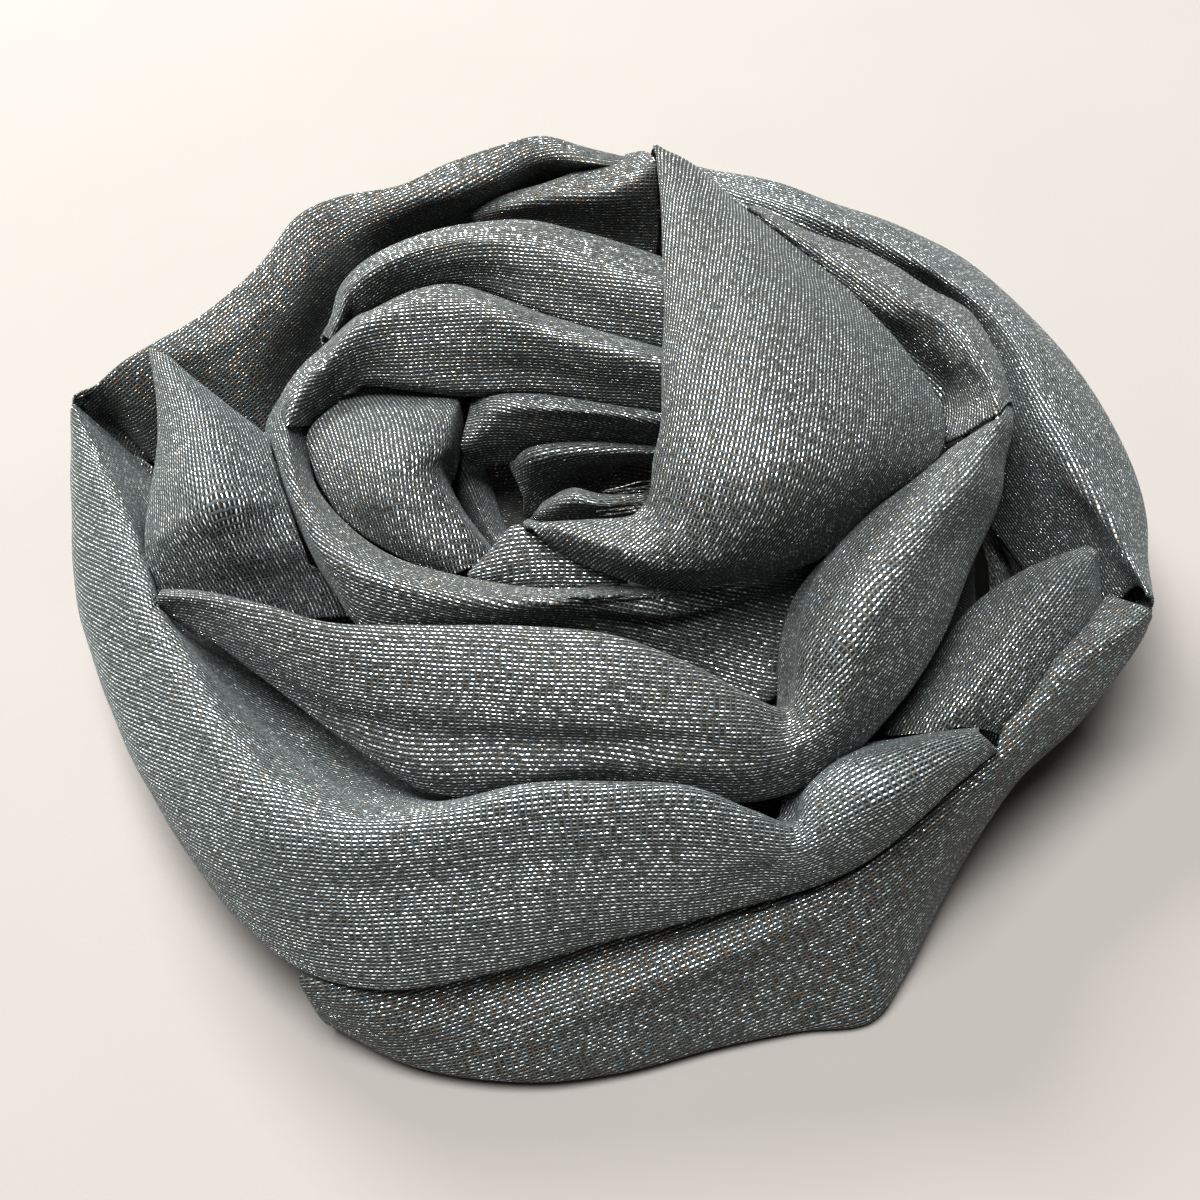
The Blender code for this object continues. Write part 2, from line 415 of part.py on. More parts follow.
# Small facet in front of the eye.
EYE_FRONT_FOLD = {
    "name": "eye_front_fold",
    "columns": ("back", "crest", "mid", "low", "hem"),
    "seen": "mid",
    "samples": (9, 7),
    "sections": (
        ((-17, -7, 36), (-18, -9, 38), (-18, -9.5, 38), (-17.5, -9.5, 37), (-17.5, -9.5, 35)),
        ((-13.5, -4.5, 38), (-14.5, -6.5, 41), (-13.5, -9, 40), (-13, -10, 37), (-13, -10, 35)),
        ((-10, -2, 39), (-11, -4, 43), (-9, -8, 41), (-7, -11, 37), (-7, -11, 35)),
        ((-5, -4.5, 39), (-5, -6.5, 42), (-3.5, -9, 40), (-1, -11, 37), (-1, -11, 35)),
        ((2, -7, 38), (2, -9, 40), (3, -10, 39), (5, -10.5, 37), (5, -10.5, 35)),
    ),
}

# Big smooth petal: from behind the ring, over its top, down the straight left edge,
# round the bottom and into a pointed lip before the eye.
BIG_PETAL = {
    "name": "big_petal",
    "columns": ("return", "inner", "left", "mid", "right", "outer"),
    "seen": "mid",
    "samples": (26, 11),
    "sections": (
        ((8.5, 67, 39), (6.5, 70.5, 41.5), (9.5, 72.5, 42.5),
         (13, 73, 42), (16.5, 72.5, 40.5), (19.5, 70.5, 37.5)),
        ((10, 60, 47.5), (8, 62.5, 51), (10, 59.5, 52.5),
         (12, 59.5, 51.5), (14, 60, 49.5), (15.5, 61.5, 46)),
        ((10.5, 49.5, 49), (8.5, 50.5, 53), (10, 47.5, 55), (14, 46.5, 55), (18, 47.5, 53), (21.5, 52, 48)),
        ((10.5, 37.5, 51), (8.5, 37.5, 55), (11.5, 34.5, 57), (16.5, 33, 58), (23, 36, 55), (29, 43, 48)),
        ((10.5, 24.5, 52), (8.5, 24.5, 56), (12, 21.5, 59),
         (19, 20.5, 60), (28.5, 24.5, 56), (36.5, 32.5, 48)),
        ((10, 13, 52), (8, 13, 56), (12, 9.5, 60), (21, 8.5, 61), (32.5, 13.5, 56), (42.5, 24.5, 46)),
        ((10, 3.5, 51), (8, 3.5, 55), (12.5, -0.5, 59), (22.5, -1.5, 60), (35.5, 6, 54), (47, 16, 43)),
        ((9, -0.5, 49), (7, -1.5, 53), (12, -7, 57), (21.5, -8.5, 58), (33, -2, 53), (45.5, 8.5, 41)),
        ((8.5, -4, 47), (6.5, -5, 51), (11, -10, 54), (18.5, -12.5, 54), (28, -7.5, 50), (37.5, 1, 40)),
        ((7.5, -4, 45), (5.5, -6, 49), (9.5, -12, 51), (15, -14.5, 50), (21, -12, 46), (28, -7, 39)),
        ((4.5, -5, 44), (3.5, -7, 48), (6.5, -12.5, 49),
         (10.5, -14.5, 47), (13.5, -13.5, 44), (16, -11.5, 40)),
        ((-1, -4.5, 43), (-1, -6.5, 47), (1.5, -11.5, 48), (4, -13, 46), (6, -12.5, 43), (7, -12, 40)),
        ((-6, -4, 43), (-6, -6, 46), (-5, -8, 46.5), (-4, -9, 45.5), (-3.5, -9, 43.5), (-2, -9.5, 41.5)),
        ((-9.5, -2, 42), (-10, -4.5, 44), (-9, -6, 45), (-8, -7, 44.5), (-7, -7, 43), (-6, -6.5, 41)),
    ),
}

# Band round the back below the outer ring, from corner to corner. It isn't seen in front.
BACK_BAND = {
    "name": "back_band",
    "columns": ("tuck", "top", "face", "turn", "hem"),
    "seen": "face",
    "samples": (30, 8),
    "sections": (
        ((-47.5, -1.5, 16), (-59.5, -3.5, 17), (-61.5, -3.5, 14), (-60.5, -3.5, 10), (-57.5, -3, 10)),
        ((-51, 7, 16), (-63, 7, 17), (-65, 7.5, 14), (-64, 7, 10), (-61, 7, 10)),
        ((-56.5, 17, 16), (-68.5, 19.5, 17), (-71.5, 20, 13), (-68.5, 19.5, 9), (-65.5, 19, 9)),
        ((-55.5, 27.5, 21), (-67, 32, 22), (-69.5, 33, 14), (-67, 32, 9), (-64, 31, 9)),
        ((-44, 34.5, 24), (-54, 41.5, 25), (-57, 43.5, 15), (-54.5, 42, 9), (-52, 40, 9)),
        ((-36, 42.5, 27), (-44.5, 51, 28), (-48, 54.5, 17), (-46.5, 53, 10), (-44.5, 51, 10)),
        ((-28, 50, 29), (-34.5, 60, 30), (-37, 64.5, 19), (-36, 62.5, 10), (-34.5, 60, 10)),
        ((-17, 52, 31), (-21, 63.5, 32), (-23, 68, 20), (-22.5, 67, 11), (-21.5, 64, 11)),
        ((-7, 55.5, 31), (-9, 67.5, 32), (-9.5, 74.5, 20), (-9.5, 72.5, 11), (-9, 69.5, 11)),
        ((3.5, 53, 30), (4, 65, 31), (4.5, 72, 20), (4.5, 71, 11), (4.5, 68, 11)),
        ((13.5, 52, 29), (17, 63.5, 30), (18, 68.5, 19), (18, 67.5, 10), (17, 64.5, 10)),
        ((23.5, 49, 28), (29, 59.5, 29), (32, 65, 18), (31, 63.5, 10), (29.5, 60.5, 10)),
        ((36, 48, 26), (43.5, 57, 27), (47, 61, 16), (45, 58.5, 9), (43, 56.5, 9)),
        ((45.5, 40.5, 23), (55, 48, 24), (59, 51, 14), (56.5, 49.5, 9), (54.5, 47.5, 9)),
        ((52, 30.5, 20), (63, 35.5, 21), (66.5, 37.5, 13), (64, 36, 8), (61, 35, 8)),
        ((55.5, 19, 18), (67, 21.5, 19), (70, 22.5, 12), (67, 21.5, 8), (64, 21, 8)),
        ((56, 9, 18), (68, 9.5, 19), (71, 10, 13), (68, 9.5, 9), (65, 9.5, 9)),
        ((53.5, -0.5, 19), (65.5, -2, 20), (68.5, -2, 14), (65.5, -2, 9), (62.5, -1.5, 9)),
        ((48.5, -8, 18), (60, -11, 19), (62, -11.5, 14), (60, -11, 10), (57, -10.5, 10)),
    ),
}

# Lowest band round the back and sides, from one end of the front skirt to the other.
BACK_SKIRT = {
    "name": "back_skirt",
    "columns": ("tuck", "top", "ridge", "foot", "under"),
    "seen": "ridge",
    "samples": (36, 7),
    "sections": (
        ((-34, -33, 11), (-35.5, -34.5, 11), (-39, -38, 5), (-41, -40.5, 1.5), (-38, -37.5, 0.5)),
        ((-42.5, -21.5, 11), (-44, -22.5, 11), (-48.5, -25, 4.5), (-51, -27, 1.5), (-47.5, -24.5, 0.5)),
        ((-50, -9.5, 11), (-52, -10, 11), (-57.5, -11.5, 4.5), (-60.5, -12.5, 1.5), (-56.5, -11.5, 0.5)),
        ((-56, 3, 12), (-58, 3, 12), (-64, 3, 5), (-66, 2.5, 1.5), (-62, 3, 0.5)),
        ((-57.5, 17.5, 14), (-59.5, 17.5, 14), (-65.5, 19, 6), (-68.5, 19.5, 1.5), (-64.5, 18.5, 0.5)),
        ((-55, 29.5, 14), (-56.5, 30, 14), (-62, 32.5, 6.5), (-66, 34.5, 1.5), (-62, 32.5, 0.5)),
        ((-45.5, 38, 14), (-47, 39, 14), (-52, 42.5, 6.5), (-55, 45, 1.5), (-52, 42.5, 0.5)),
        ((-37.5, 46.5, 15), (-39, 48, 15), (-43, 52.5, 7), (-46, 56.5, 1.5), (-43.5, 53.5, 0.5)),
        ((-28.5, 54.5, 15), (-29.5, 56, 15), (-32.5, 61.5, 7), (-35, 65.5, 1.5), (-33, 62, 0.5)),
        ((-15, 58, 15), (-15.5, 60, 15), (-17.5, 65.5, 7.5), (-19, 71.5, 1.5), (-18, 67.5, 0.5)),
        ((-2, 62, 15), (-2, 64, 15), (-2.5, 70, 7.5), (-2.5, 75, 1.5), (-2.5, 71, 0.5)),
        ((11.5, 59, 15), (12, 61, 15), (13, 66.5, 7), (14, 71.5, 1.5), (13.5, 67.5, 0.5)),
        ((24, 54.5, 14), (25, 56, 14), (27.5, 61.5, 7), (30, 66, 1.5), (28, 62.5, 0.5)),
        ((38, 50, 14), (39, 51.5, 14), (43, 56.5, 6.5), (46.5, 60, 1.5), (43.5, 57, 0.5)),
        ((49.5, 41, 13), (51, 42, 13), (56, 45.5, 6), (60, 48.5, 1.5), (56.5, 46, 0.5)),
        ((55.5, 27.5, 12), (57.5, 28, 12), (63, 30.5, 6), (67, 32, 1.5), (63, 30.5, 0.5)),
        ((57.5, 13, 12), (59.5, 13.5, 12), (65.5, 14, 6), (69.5, 14.5, 1.5), (65.5, 14, 0.5)),
        ((54.5, -0.5, 13), (56.5, -1, 13), (62.5, -1.5, 6.5), (65.5, -2, 1.5), (61.5, -1.5, 0.5)),
        ((50.5, -11.5, 12), (52.5, -12, 12), (57, -13.5, 6), (59, -14, 1.5), (55, -13, 0.5)),
        ((42.5, -19.5, 11), (44, -20.5, 11), (47.5, -22.5, 6), (50, -24, 1.5), (47, -22, 0.5)),
        ((35.5, -27, 10), (37, -28.5, 10), (39.5, -30.5, 5.5), (41.5, -32.5, 1.5), (38.5, -30, 0.5)),
    ),
}

# The stretches in the order in which they lie on each other: an earlier one keeps
# its shape, and a later one stops short of it.
STRETCHES = (
    BIG_PETAL,
    FRONT_BAND_SECOND,
    FRONT_BAND_OUTER,
    FRONT_BAND_INNER,
    LEFT_PETAL,
    BACK_ROLL_UPPER,
    BACK_ROLL_MIDDLE,
    BACK_RIGHT_ROLL,
    RIGHT_RING,
    BACK_RING,
    BACK_RIDGE,
    INNER_LEFT_LOBE,
    BACK_ROLL_LOWER,
    BACK_ROLL_DEEP,
    EYE_FRONT_FOLD,
    EYE_CURL,
    EYE_TONGUE,
    RIGHT_LOBE,
    SKIRT_FRONT,
    BACK_BAND,
    BACK_SKIRT,
)

# The cloth's colour, and where the light or the fold's shade turns it.
CLOTH_TINT = (0.11, 0.14, 0.14)
TINTS = {
    "right_ring": (0.17, 0.20, 0.22),
    "front_band_outer": (0.13, 0.17, 0.18),
    "left_petal": (0.13, 0.16, 0.16),
    "back_ring": (0.14, 0.13, 0.12),
    "back_ridge": (0.12, 0.12, 0.11),
    "eye_curl": (0.08, 0.09, 0.09),
    "eye_tongue": (0.08, 0.09, 0.09),
    "skirt_front": (0.10, 0.12, 0.12),
    "wound_core": (0.06, 0.07, 0.07),
}

# The hidden layers. Radii in mm about CORE_AXIS, one row for each bearing:
# bearing in degrees, heights at the radii of CORE_RADII, shoulder (radius, height),
# rim (radius, height), radius at the base.
CORE_AXIS = (0.0, 5.0)
CORE_MIDDLE_HEIGHT = 24.0
CORE_RADII = (10.0, 20.0, 30.0, 40.0)
CORE_ROWS = (
    (0, (29, 42, 33, 33), (48, 25), (58, 18), 53),
    (30, (24, 40, 46, 42), (48, 32), (58, 22), 54),
    (60, (24, 27, 35, 42), (48, 34), (56, 24), 52),
    (90, (24, 25, 34, 33), (48, 32), (55, 22), 51),
    (120, (23, 23, 26, 37), (48, 32), (56, 22), 53),
    (150, (23, 24, 26, 34), (48, 31), (57, 20), 54),
    (180, (24, 25, 32, 30), (48, 29), (58, 18), 53),
    (210, (27, 28, 27, 20), (44, 14), (47, 9), 47),
    (240, (31, 32, 32, 20), (46, 18), (50, 11), 48),
    (270, (28, 28, 31, 23), (46, 14), (50, 9), 49),
    (300, (32, 25, 23, 21), (46, 16), (50, 10), 49),
    (330, (33, 30, 26, 24), (45, 18), (50, 10), 47),
)
# Folded layers round the edge: share of the rim's height, step out from the line
# that runs from rim to base.
CORE_LAYERS = ((0.82, -0.7), (0.64, 0.9), (0.46, -0.7), (0.28, 0.9), (0.13, -0.5))
CORE_BEARINGS = 48


def catmull_rom(points, count, closed=False):
    """Return count points on the smooth curve through the given points."""
    points = np.asarray(points, float)
    last = len(points) - 1
    if closed:
        ring = np.concatenate([points[-1:], points, points[:2]])
        steps = np.linspace(0.0, len(points), count, endpoint=False)
        last = len(points)
    else:
        before = 2.0 * points[0] - points[1]
        after = 2.0 * points[-1] - points[-2]
        ring = np.concatenate([before[None], points, after[None]])
        steps = np.linspace(0.0, last, count)
    curve = []
    for step in steps:
        index = min(int(step), last - 1)
        t = step - index
        p0, p1, p2, p3 = ring[index:index + 4]
        linear = (p2 - p0) * t
        square = (2.0 * p0 - 5.0 * p1 + 4.0 * p2 - p3) * t * t
        cubic = (3.0 * p1 - p0 - 3.0 * p2 + p3) * t * t * t
        curve.append(0.5 * (2.0 * p1 + linear + square + cubic))
    return np.array(curve)


def loft(sections, along, across):
    """Return the grid (along, across, xyz) in metres through the sections."""
    rails = catmull_rom(np.asarray(sections, float), along)
    grid = np.stack([catmull_rom(section, across) for section in rails])
    grid[..., 2] = np.maximum(grid[..., 2], TABLE_LIFT)
    return grid * MM


def grid_faces(grid):
    """Return the triangles of the grid, each quad split on its shorter diagonal."""
    along, across = grid.shape[:2]
    faces = []
    for row in range(along - 1):
        for column in range(across - 1):
            corner = row * across + column
            a, b = corner, corner + across
            c, d = corner + across + 1, corner + 1
            one = np.linalg.norm(grid[row, column] - grid[row + 1, column + 1])
            two = np.linalg.norm(grid[row + 1, column] - grid[row, column + 1])
            if one < two:
                faces += [(a, b, c), (a, c, d)]
            else:
                faces += [(a, b, d), (b, c, d)]
    return faces


def faces_inward(grid):
    """Tell whether the grid's quads look at the middle of the rosette."""
    run = grid[1:, :-1] - grid[:-1, :-1]
    rise = grid[:-1, 1:] - grid[:-1, :-1]
    normals = np.cross(run, rise)
    middle = np.array([0.0, 5.0, -20.0]) * MM
    outward = grid[:-1, :-1] - middle
    return float(np.sum(normals * outward)) < 0.0


def new_object(name, vertices, faces, collection):
    """Link a mesh object made of the given vertices and faces."""
    mesh = bpy.data.meshes.new(name)
    mesh.from_pydata([tuple(vertex) for vertex in vertices], [], faces)
    mesh.validate()
    item = bpy.data.objects.new(name, mesh)
    collection.objects.link(item)
    return item


def headings(grid, axis):
    """Return the direction of the grid's lines at each point along one axis."""
    step = np.diff(grid, axis=axis)
    step = step / np.maximum(np.linalg.norm(step, axis=2, keepdims=True), 1e-9)
    last = step.shape[axis] - 1
    before = np.concatenate([np.take(step, [0], axis), step], axis=axis)
    after = np.concatenate([step, np.take(step, [last], axis)], axis=axis)
    return before + after


def grid_normals(grid):
    """Return the unit normal at each point of the grid."""
    normals = np.cross(headings(grid, 0), headings(grid, 1))
    length = np.linalg.norm(normals, axis=2, keepdims=True)
    return normals / np.maximum(length, 1e-12)


def fold_radii(grid, normals, axis):
    """Return the radius, in metres, on which the sheet bends along one axis."""
    step = np.linalg.norm(np.diff(grid, axis=axis), axis=2)
    cosine = np.sum(np.delete(normals, 0, axis) * np.delete(normals, -1, axis), axis=2)
    turn = np.arccos(np.clip(cosine, -1.0, 1.0))
    radius = step / np.maximum(turn, 1e-4)
    before = np.insert(radius, 0, 1.0, axis=axis)
    after = np.insert(radius, radius.shape[axis], 1.0, axis=axis)
    return np.minimum(before, after)


def wall_depths(grid, normals, faces):
    """Return how deep the wall is at each point, thinner inside a tight fold."""
    along, across = grid.shape[:2]
    tree = BVHTree.FromPolygons([tuple(point) for point in grid.reshape(-1, 3)], faces)
    widths = np.sum(np.linalg.norm(np.diff(grid, axis=1), axis=2), axis=1) / MM
    depths = np.full((along, across), CLOTH_WALL)
    depths = np.minimum(depths, widths[:, None] * TIP_SHARE)
    depths = np.minimum(depths, fold_radii(grid, normals, 0) / MM * 0.5)
    depths = np.minimum(depths, fold_radii(grid, normals, 1) / MM * 0.5)
    for row in range(along):
        for column in range(across):
            inward = Vector(-normals[row, column])
            start = Vector(grid[row, column]) + inward * (0.08 * MM)
            hit = tree.ray_cast(start, inward, 4.0 * MM)
            if hit[0] is not None:
                room = (hit[3] / MM + 0.08) * FOLD_FILL
                depths[row, column] = min(depths[row, column], room)
    for _ in range(2):
        padded = np.pad(depths, 1, mode="edge")
        stack = [padded[i:i + along, j:j + across] for i in range(3) for j in range(3)]
        depths = np.minimum(depths, np.mean(stack, axis=0))
    return np.maximum(depths, THINNEST_WALL)


def blocked(point, walls, reach):
    """Tell whether a point in mid-wall is too near a stretch that lies already."""
    return any(tree.find_nearest(point, reach)[0] is not None for tree, _ in walls)


def clear_span(points, normals, anchor, walls, slack):
    """Return the span round the anchor in which a section is clear, or None."""
    width = float(np.sum(np.linalg.norm(np.diff(points, axis=0), axis=1)))
    half = min(CLOTH_WALL * MM, TIP_SHARE * width) / 2.0
    reach = half + (SEAM + slack) * MM
    middle = points - normals * half
    if blocked(Vector(middle[anchor]), walls, reach):
        return None
    low = high = anchor
    while low > 0 and not blocked(Vector(middle[low - 1]), walls, reach):
        low -= 1
    while high < len(points) - 1 and not blocked(Vector(middle[high + 1]), walls, reach):
        high += 1
    return low, high


def tightest(values, step, pick):
    """Return one value for each section from the fine rows on either side of it."""
    spans = []
    for row in range(0, len(values), step):
        spans.append(pick(values[max(0, row - step):row + step + 1]))
    return np.array(spans, float)


def tuck_in(grid, anchor, walls, slack):
    """Shorten each section where it would run into a stretch that lies already.

    The grid has FINE_ALONG rows for each section that is kept.
    """
    normals = grid_normals(grid)
    spans = []
    for row in range(len(grid)):
        spans.append(clear_span(grid[row], normals[row], anchor, walls, slack))
    clear = [row for row, span in enumerate(spans) if span is not None]
    first = -(-clear[0] // FINE_ALONG) * FINE_ALONG
    last = clear[-1] // FINE_ALONG * FINE_ALONG
    spans = [span or (anchor - 3, anchor + 3) for span in spans[first:last + 1]]
    lows = tightest([span[0] for span in spans], FINE_ALONG, max)
    highs = tightest([span[1] for span in spans], FINE_ALONG, min)
    for _ in range(2):
        padded = np.pad(lows, 1, mode="edge")
        lows = np.maximum(lows, (padded[:-2] + padded[1:-1] + padded[2:]) / 3.0)
        padded = np.pad(highs, 1, mode="edge")
        highs = np.minimum(highs, (padded[:-2] + padded[1:-1] + padded[2:]) / 3.0)
    return grid[first:last + 1:FINE_ALONG], lows, highs


def resample(grid, lows, highs, across):
    """Return the grid with each section cut to its span, across points wide."""
    sections = []
    places = np.arange(grid.shape[1])
    for section, low, high in zip(grid, lows, highs):
        wanted = np.linspace(low, high, across)
        sections.append(np.stack([np.interp(wanted, places, section[:, i]) for i in range(3)], 1))
    return np.array(sections)


def crossing_points(points, faces, count):
    """Return the sheet's points whose faces pass through another face."""
    tree = BVHTree.FromPolygons([tuple(point) for point in points], faces)
    found = set()
    for one, two in tree.overlap(tree):
        if one < two and not set(faces[one]) & set(faces[two]):
            found.update(corner % count for corner in faces[one] + faces[two])
    return sorted(found)


def rim_faces(along, across):
    """Return the triangles that close the wall round the edge of the sheet."""
    count = along * across
    rim = [row * across for row in range(along)]
    rim += [(along - 1) * across + column for column in range(1, across)]
    rim += [row * across + across - 1 for row in range(along - 2, -1, -1)]
    rim += [column for column in range(across - 2, 0, -1)]
    faces = []
    for index, corner in enumerate(rim):
        following = rim[(index + 1) % len(rim)]
        faces.append((corner, corner + count, following + count))
        faces.append((corner, following + count, following))
    return faces


def relax(grid, points):
    """Ease the given points of the sheet half way to the mean of their neighbours."""
    padded = np.pad(grid, ((1, 1), (1, 1), (0, 0)), mode="edge")
    mean = padded[:-2, 1:-1] + padded[2:, 1:-1] + padded[1:-1, :-2] + padded[1:-1, 2:]
    eased = (grid + mean / 4.0) / 2.0
    chosen = np.zeros(grid.shape[:2], bool)
    chosen.reshape(-1)[points] = True
    return np.where(chosen[..., None], eased, grid)


def closed_wall(grid):
    """Return the vertices and faces of the wall whose seen side is the grid.

    Where the wall would pass through itself it gets thinner, and the sheet rounder.
    """
    along, across = grid.shape[:2]
    count = along * across
    for _ in range(EASE_ROUNDS):
        sheet = grid_faces(grid)
        normals = grid_normals(grid)
        depths = wall_depths(grid, normals, sheet)
        faces = sheet + [tuple(corner + count for corner in face[::-1]) for face in sheet]
        faces += rim_faces(along, across)
        for _ in range(4):
            inner = grid - normals * depths[..., None] * MM
            inner[..., 2] = np.maximum(inner[..., 2], TABLE_LIFT * MM)
            points = np.concatenate([grid.reshape(-1, 3), inner.reshape(-1, 3)])
            crossing = crossing_points(points, faces, count)
            if not crossing:
                return points, faces
            depths.reshape(-1)[crossing] *= 0.75
        grid = relax(grid, crossing)
    return points, faces


def wall_tree(points, faces):
    """Return the wall's search tree together with its points."""
    points = [tuple(point) for point in points]
    return BVHTree.FromPolygons(points, faces), points


def near_faces(tree, points, reach):
    """Return the tree's faces that lie nearer to any of the points than reach."""
    found = set()
    for point in points:
        face = tree.find_nearest(Vector(point), reach * MM)[2]
        if face is not None:
            found.add(face)
    return found


def too_near(wall, walls):
    """Tell whether the wall comes nearer than a seam to a stretch that lies already."""
    tree, points = wall
    for other, other_points in walls:
        if tree.overlap(other):
            return True
        if near_faces(other, points, LEAST_SEAM) or near_faces(tree, other_points, LEAST_SEAM):
            return True
    return False


def wall_of(stretch, walls, collection):
    """Build one stretch as a closed wall of cloth, below the side that is seen."""
    along, across = stretch["samples"]
    grid = loft(stretch["sections"], (along - 1) * FINE_ALONG + 1, FINE_ACROSS)
    anchor = stretch["columns"].index(stretch["seen"]) / (len(stretch["columns"]) - 1)
    if faces_inward(grid):
        grid = grid[:, ::-1]
        anchor = 1.0 - anchor
    anchor = round(anchor * (FINE_ACROSS - 1))
    for slack in FACET_SLACKS:
        cut = resample(*tuck_in(grid, anchor, walls, slack), across)
        vertices, faces = closed_wall(cut)
        wall = wall_tree(vertices, faces)
        if not too_near(wall, walls):
            break
    walls.append(wall)
    return new_object(stretch["name"], vertices, faces, collection)


def core_section(row):
    """Return the core's profile at one bearing, as (radius, height) in mm."""
    heights, shoulder, rim, base = row[1:]
    profile = list(zip(CORE_RADII, heights))
    profile += [shoulder, rim]
    for share, step in CORE_LAYERS:
        radius = base + (rim[0] - base) * share + step
        profile.append((radius, rim[1] * share))
    profile.append((base - 0.8, 0.0))
    return profile


def core_mesh(rings):
    """Return the vertices and triangles of the core through its rings."""
    vertices = [(CORE_AXIS[0] * MM, CORE_AXIS[1] * MM, CORE_MIDDLE_HEIGHT * MM)]
    for ring in rings:
        for index, (radius, height) in enumerate(ring):
            bearing = 2.0 * math.pi * index / CORE_BEARINGS
            x = CORE_AXIS[0] + radius * math.cos(bearing)
            y = CORE_AXIS[1] + radius * math.sin(bearing)
            vertices.append((x * MM, y * MM, height * MM))
    vertices.append((CORE_AXIS[0] * MM, CORE_AXIS[1] * MM, 0.0))
    faces = []
    count = CORE_BEARINGS
    for index in range(count):
        following = (index + 1) % count
        faces.append((0, 1 + index, 1 + following))
        for ring in range(len(rings) - 1):
            upper, lower = 1 + ring * count, 1 + (ring + 1) * count
            faces.append((upper + index, lower + index, lower + following))
            faces.append((upper + index, lower + following, upper + following))
        rim = 1 + (len(rings) - 1) * count
        faces.append((rim + index, len(vertices) - 1, rim + following))
    return vertices, faces


def core_of(walls, collection):
    """Build the rounded solid of hidden layers, clear of every stretch round it."""
    profiles = np.array([core_section(row) for row in CORE_ROWS], float)
    rings = catmull_rom(profiles, CORE_BEARINGS, closed=True)
    rings = np.stack([rings[:, column] for column in range(rings.shape[1])])
    flat = rings.reshape(-1, 2)
    top = len(CORE_RADII) + 1
    for _ in range(CORE_ROUNDS):
        vertices, faces = core_mesh(rings)
        own = BVHTree.FromPolygons(vertices, faces)
        moved = set()
        for tree, points in walls:
            hit = {face for face, _ in own.overlap(tree)}
            for face in hit | near_faces(own, points, CORE_SEAM):
                moved.update(faces[face])
            for index in range(1, len(vertices) - 1):
                if tree.find_nearest(Vector(vertices[index]), CORE_SEAM * MM)[0] is not None:
                    moved.add(index)
        moved -= {0, len(vertices) - 1}
        if not moved:
            break
        for index in moved:
            if index - 1 < top * CORE_BEARINGS:
                flat[index - 1, 1] -= 0.4
            else:
                flat[index - 1, 0] -= 0.4
        for ring in range(top, len(rings) - 1):
            rings[ring, :, 1] = np.minimum(rings[ring, :, 1], rings[ring - 1, :, 1] - 0.4)
    return new_object("wound_core", vertices, faces, collection)


def cloth_finish(name):
    """Return the woven cloth's plain finish for one stretch."""
    finish = bpy.data.materials.new(name + "_cloth")
    finish.use_nodes = True
    surface = finish.node_tree.nodes["Principled BSDF"]
    surface.inputs["Base Color"].default_value = (*TINTS.get(name, CLOTH_TINT), 1.0)
    surface.inputs["Roughness"].default_value = 0.55
    surface.inputs["Metallic"].default_value = 0.25
    return finish


def build():
    """Build every stretch in its order, then the core under them."""
    for item in list(bpy.data.objects):
        bpy.data.objects.remove(item)
    parts = bpy.data.collections.new("parts")
    bpy.context.scene.collection.children.link(parts)
    walls = []
    for stretch in STRETCHES:
        wall_of(stretch, walls, parts)
    core_of(walls, parts)
    for body in parts.objects:
        body.data.materials.append(cloth_finish(body.name))


build()
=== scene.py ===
"""The look of a shimmer hijab that is wound into a rosette and laid on a table.

Every stretch of the scarf is a thin shell of cloth on the form of its solid. It is
lofted through the sections of its fold table, tucked in where another stretch lies,
creased, laid flat to find how its threads run, and dressed in one woven finish
with metallic thread.
"""
from __future__ import annotations

import logging
import math
from dataclasses import dataclass, field
from enum import Enum

import bpy
import numpy as np
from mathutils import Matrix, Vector
from mathutils.bvhtree import BVHTree

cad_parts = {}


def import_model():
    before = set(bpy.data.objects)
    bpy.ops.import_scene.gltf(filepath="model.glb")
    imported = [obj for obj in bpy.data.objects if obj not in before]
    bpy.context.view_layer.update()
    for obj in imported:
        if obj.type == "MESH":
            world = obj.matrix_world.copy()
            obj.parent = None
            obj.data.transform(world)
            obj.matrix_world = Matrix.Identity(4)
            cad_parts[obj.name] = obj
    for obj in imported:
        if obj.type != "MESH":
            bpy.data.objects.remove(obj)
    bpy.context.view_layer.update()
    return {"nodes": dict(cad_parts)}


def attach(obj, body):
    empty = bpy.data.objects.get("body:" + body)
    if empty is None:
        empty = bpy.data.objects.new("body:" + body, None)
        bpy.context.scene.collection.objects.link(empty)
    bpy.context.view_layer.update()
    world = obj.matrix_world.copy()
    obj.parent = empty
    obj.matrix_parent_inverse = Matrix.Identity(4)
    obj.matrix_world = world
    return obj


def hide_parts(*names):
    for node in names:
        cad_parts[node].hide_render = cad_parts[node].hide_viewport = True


LOG = logging.getLogger("hijab_rosette")

MM = 0.001
BODY = "root"                # the only body of the frame
TABLE_LIFT = 0.25            # lowest edge of the cloth above the table, mm
CLOTH_THICKNESS = 0.55       # one layer of the cloth, mm
SEAM = 0.12                  # clear space between two stretches, mm
MESH_STEP = 0.62             # distance between the points of a fine mesh, mm
WARP_PITCH = 0.73            # distance between the matt threads, mm
WEFT_PITCH = 0.54            # distance between the metallic threads, mm
UV_NAME = "threads"          # the thread map: places on the flat cloth, in metres
FLAT_ROUNDS = 60             # rounds in which the flat cells are joined
FLAT_MOST = (44, 16)         # rows and columns of the coarse grid that is laid flat
FLAT_STEPS = 3               # its rows for each section, its columns for each column
CREASE_STEPS = 40            # points on the smooth line of a crease
CREASE_ALONG = 4.0           # weight of a place along a stretch against one across it
CREASE_TAPER = 0.6           # power by which a crease fades towards its ends
EDGE_FADE = 3.0              # width in which creases end before an edge, mm
WAVE_TURN = (0.7, 2.4)       # turn of the uneven waves, by stretch and by wave, radians
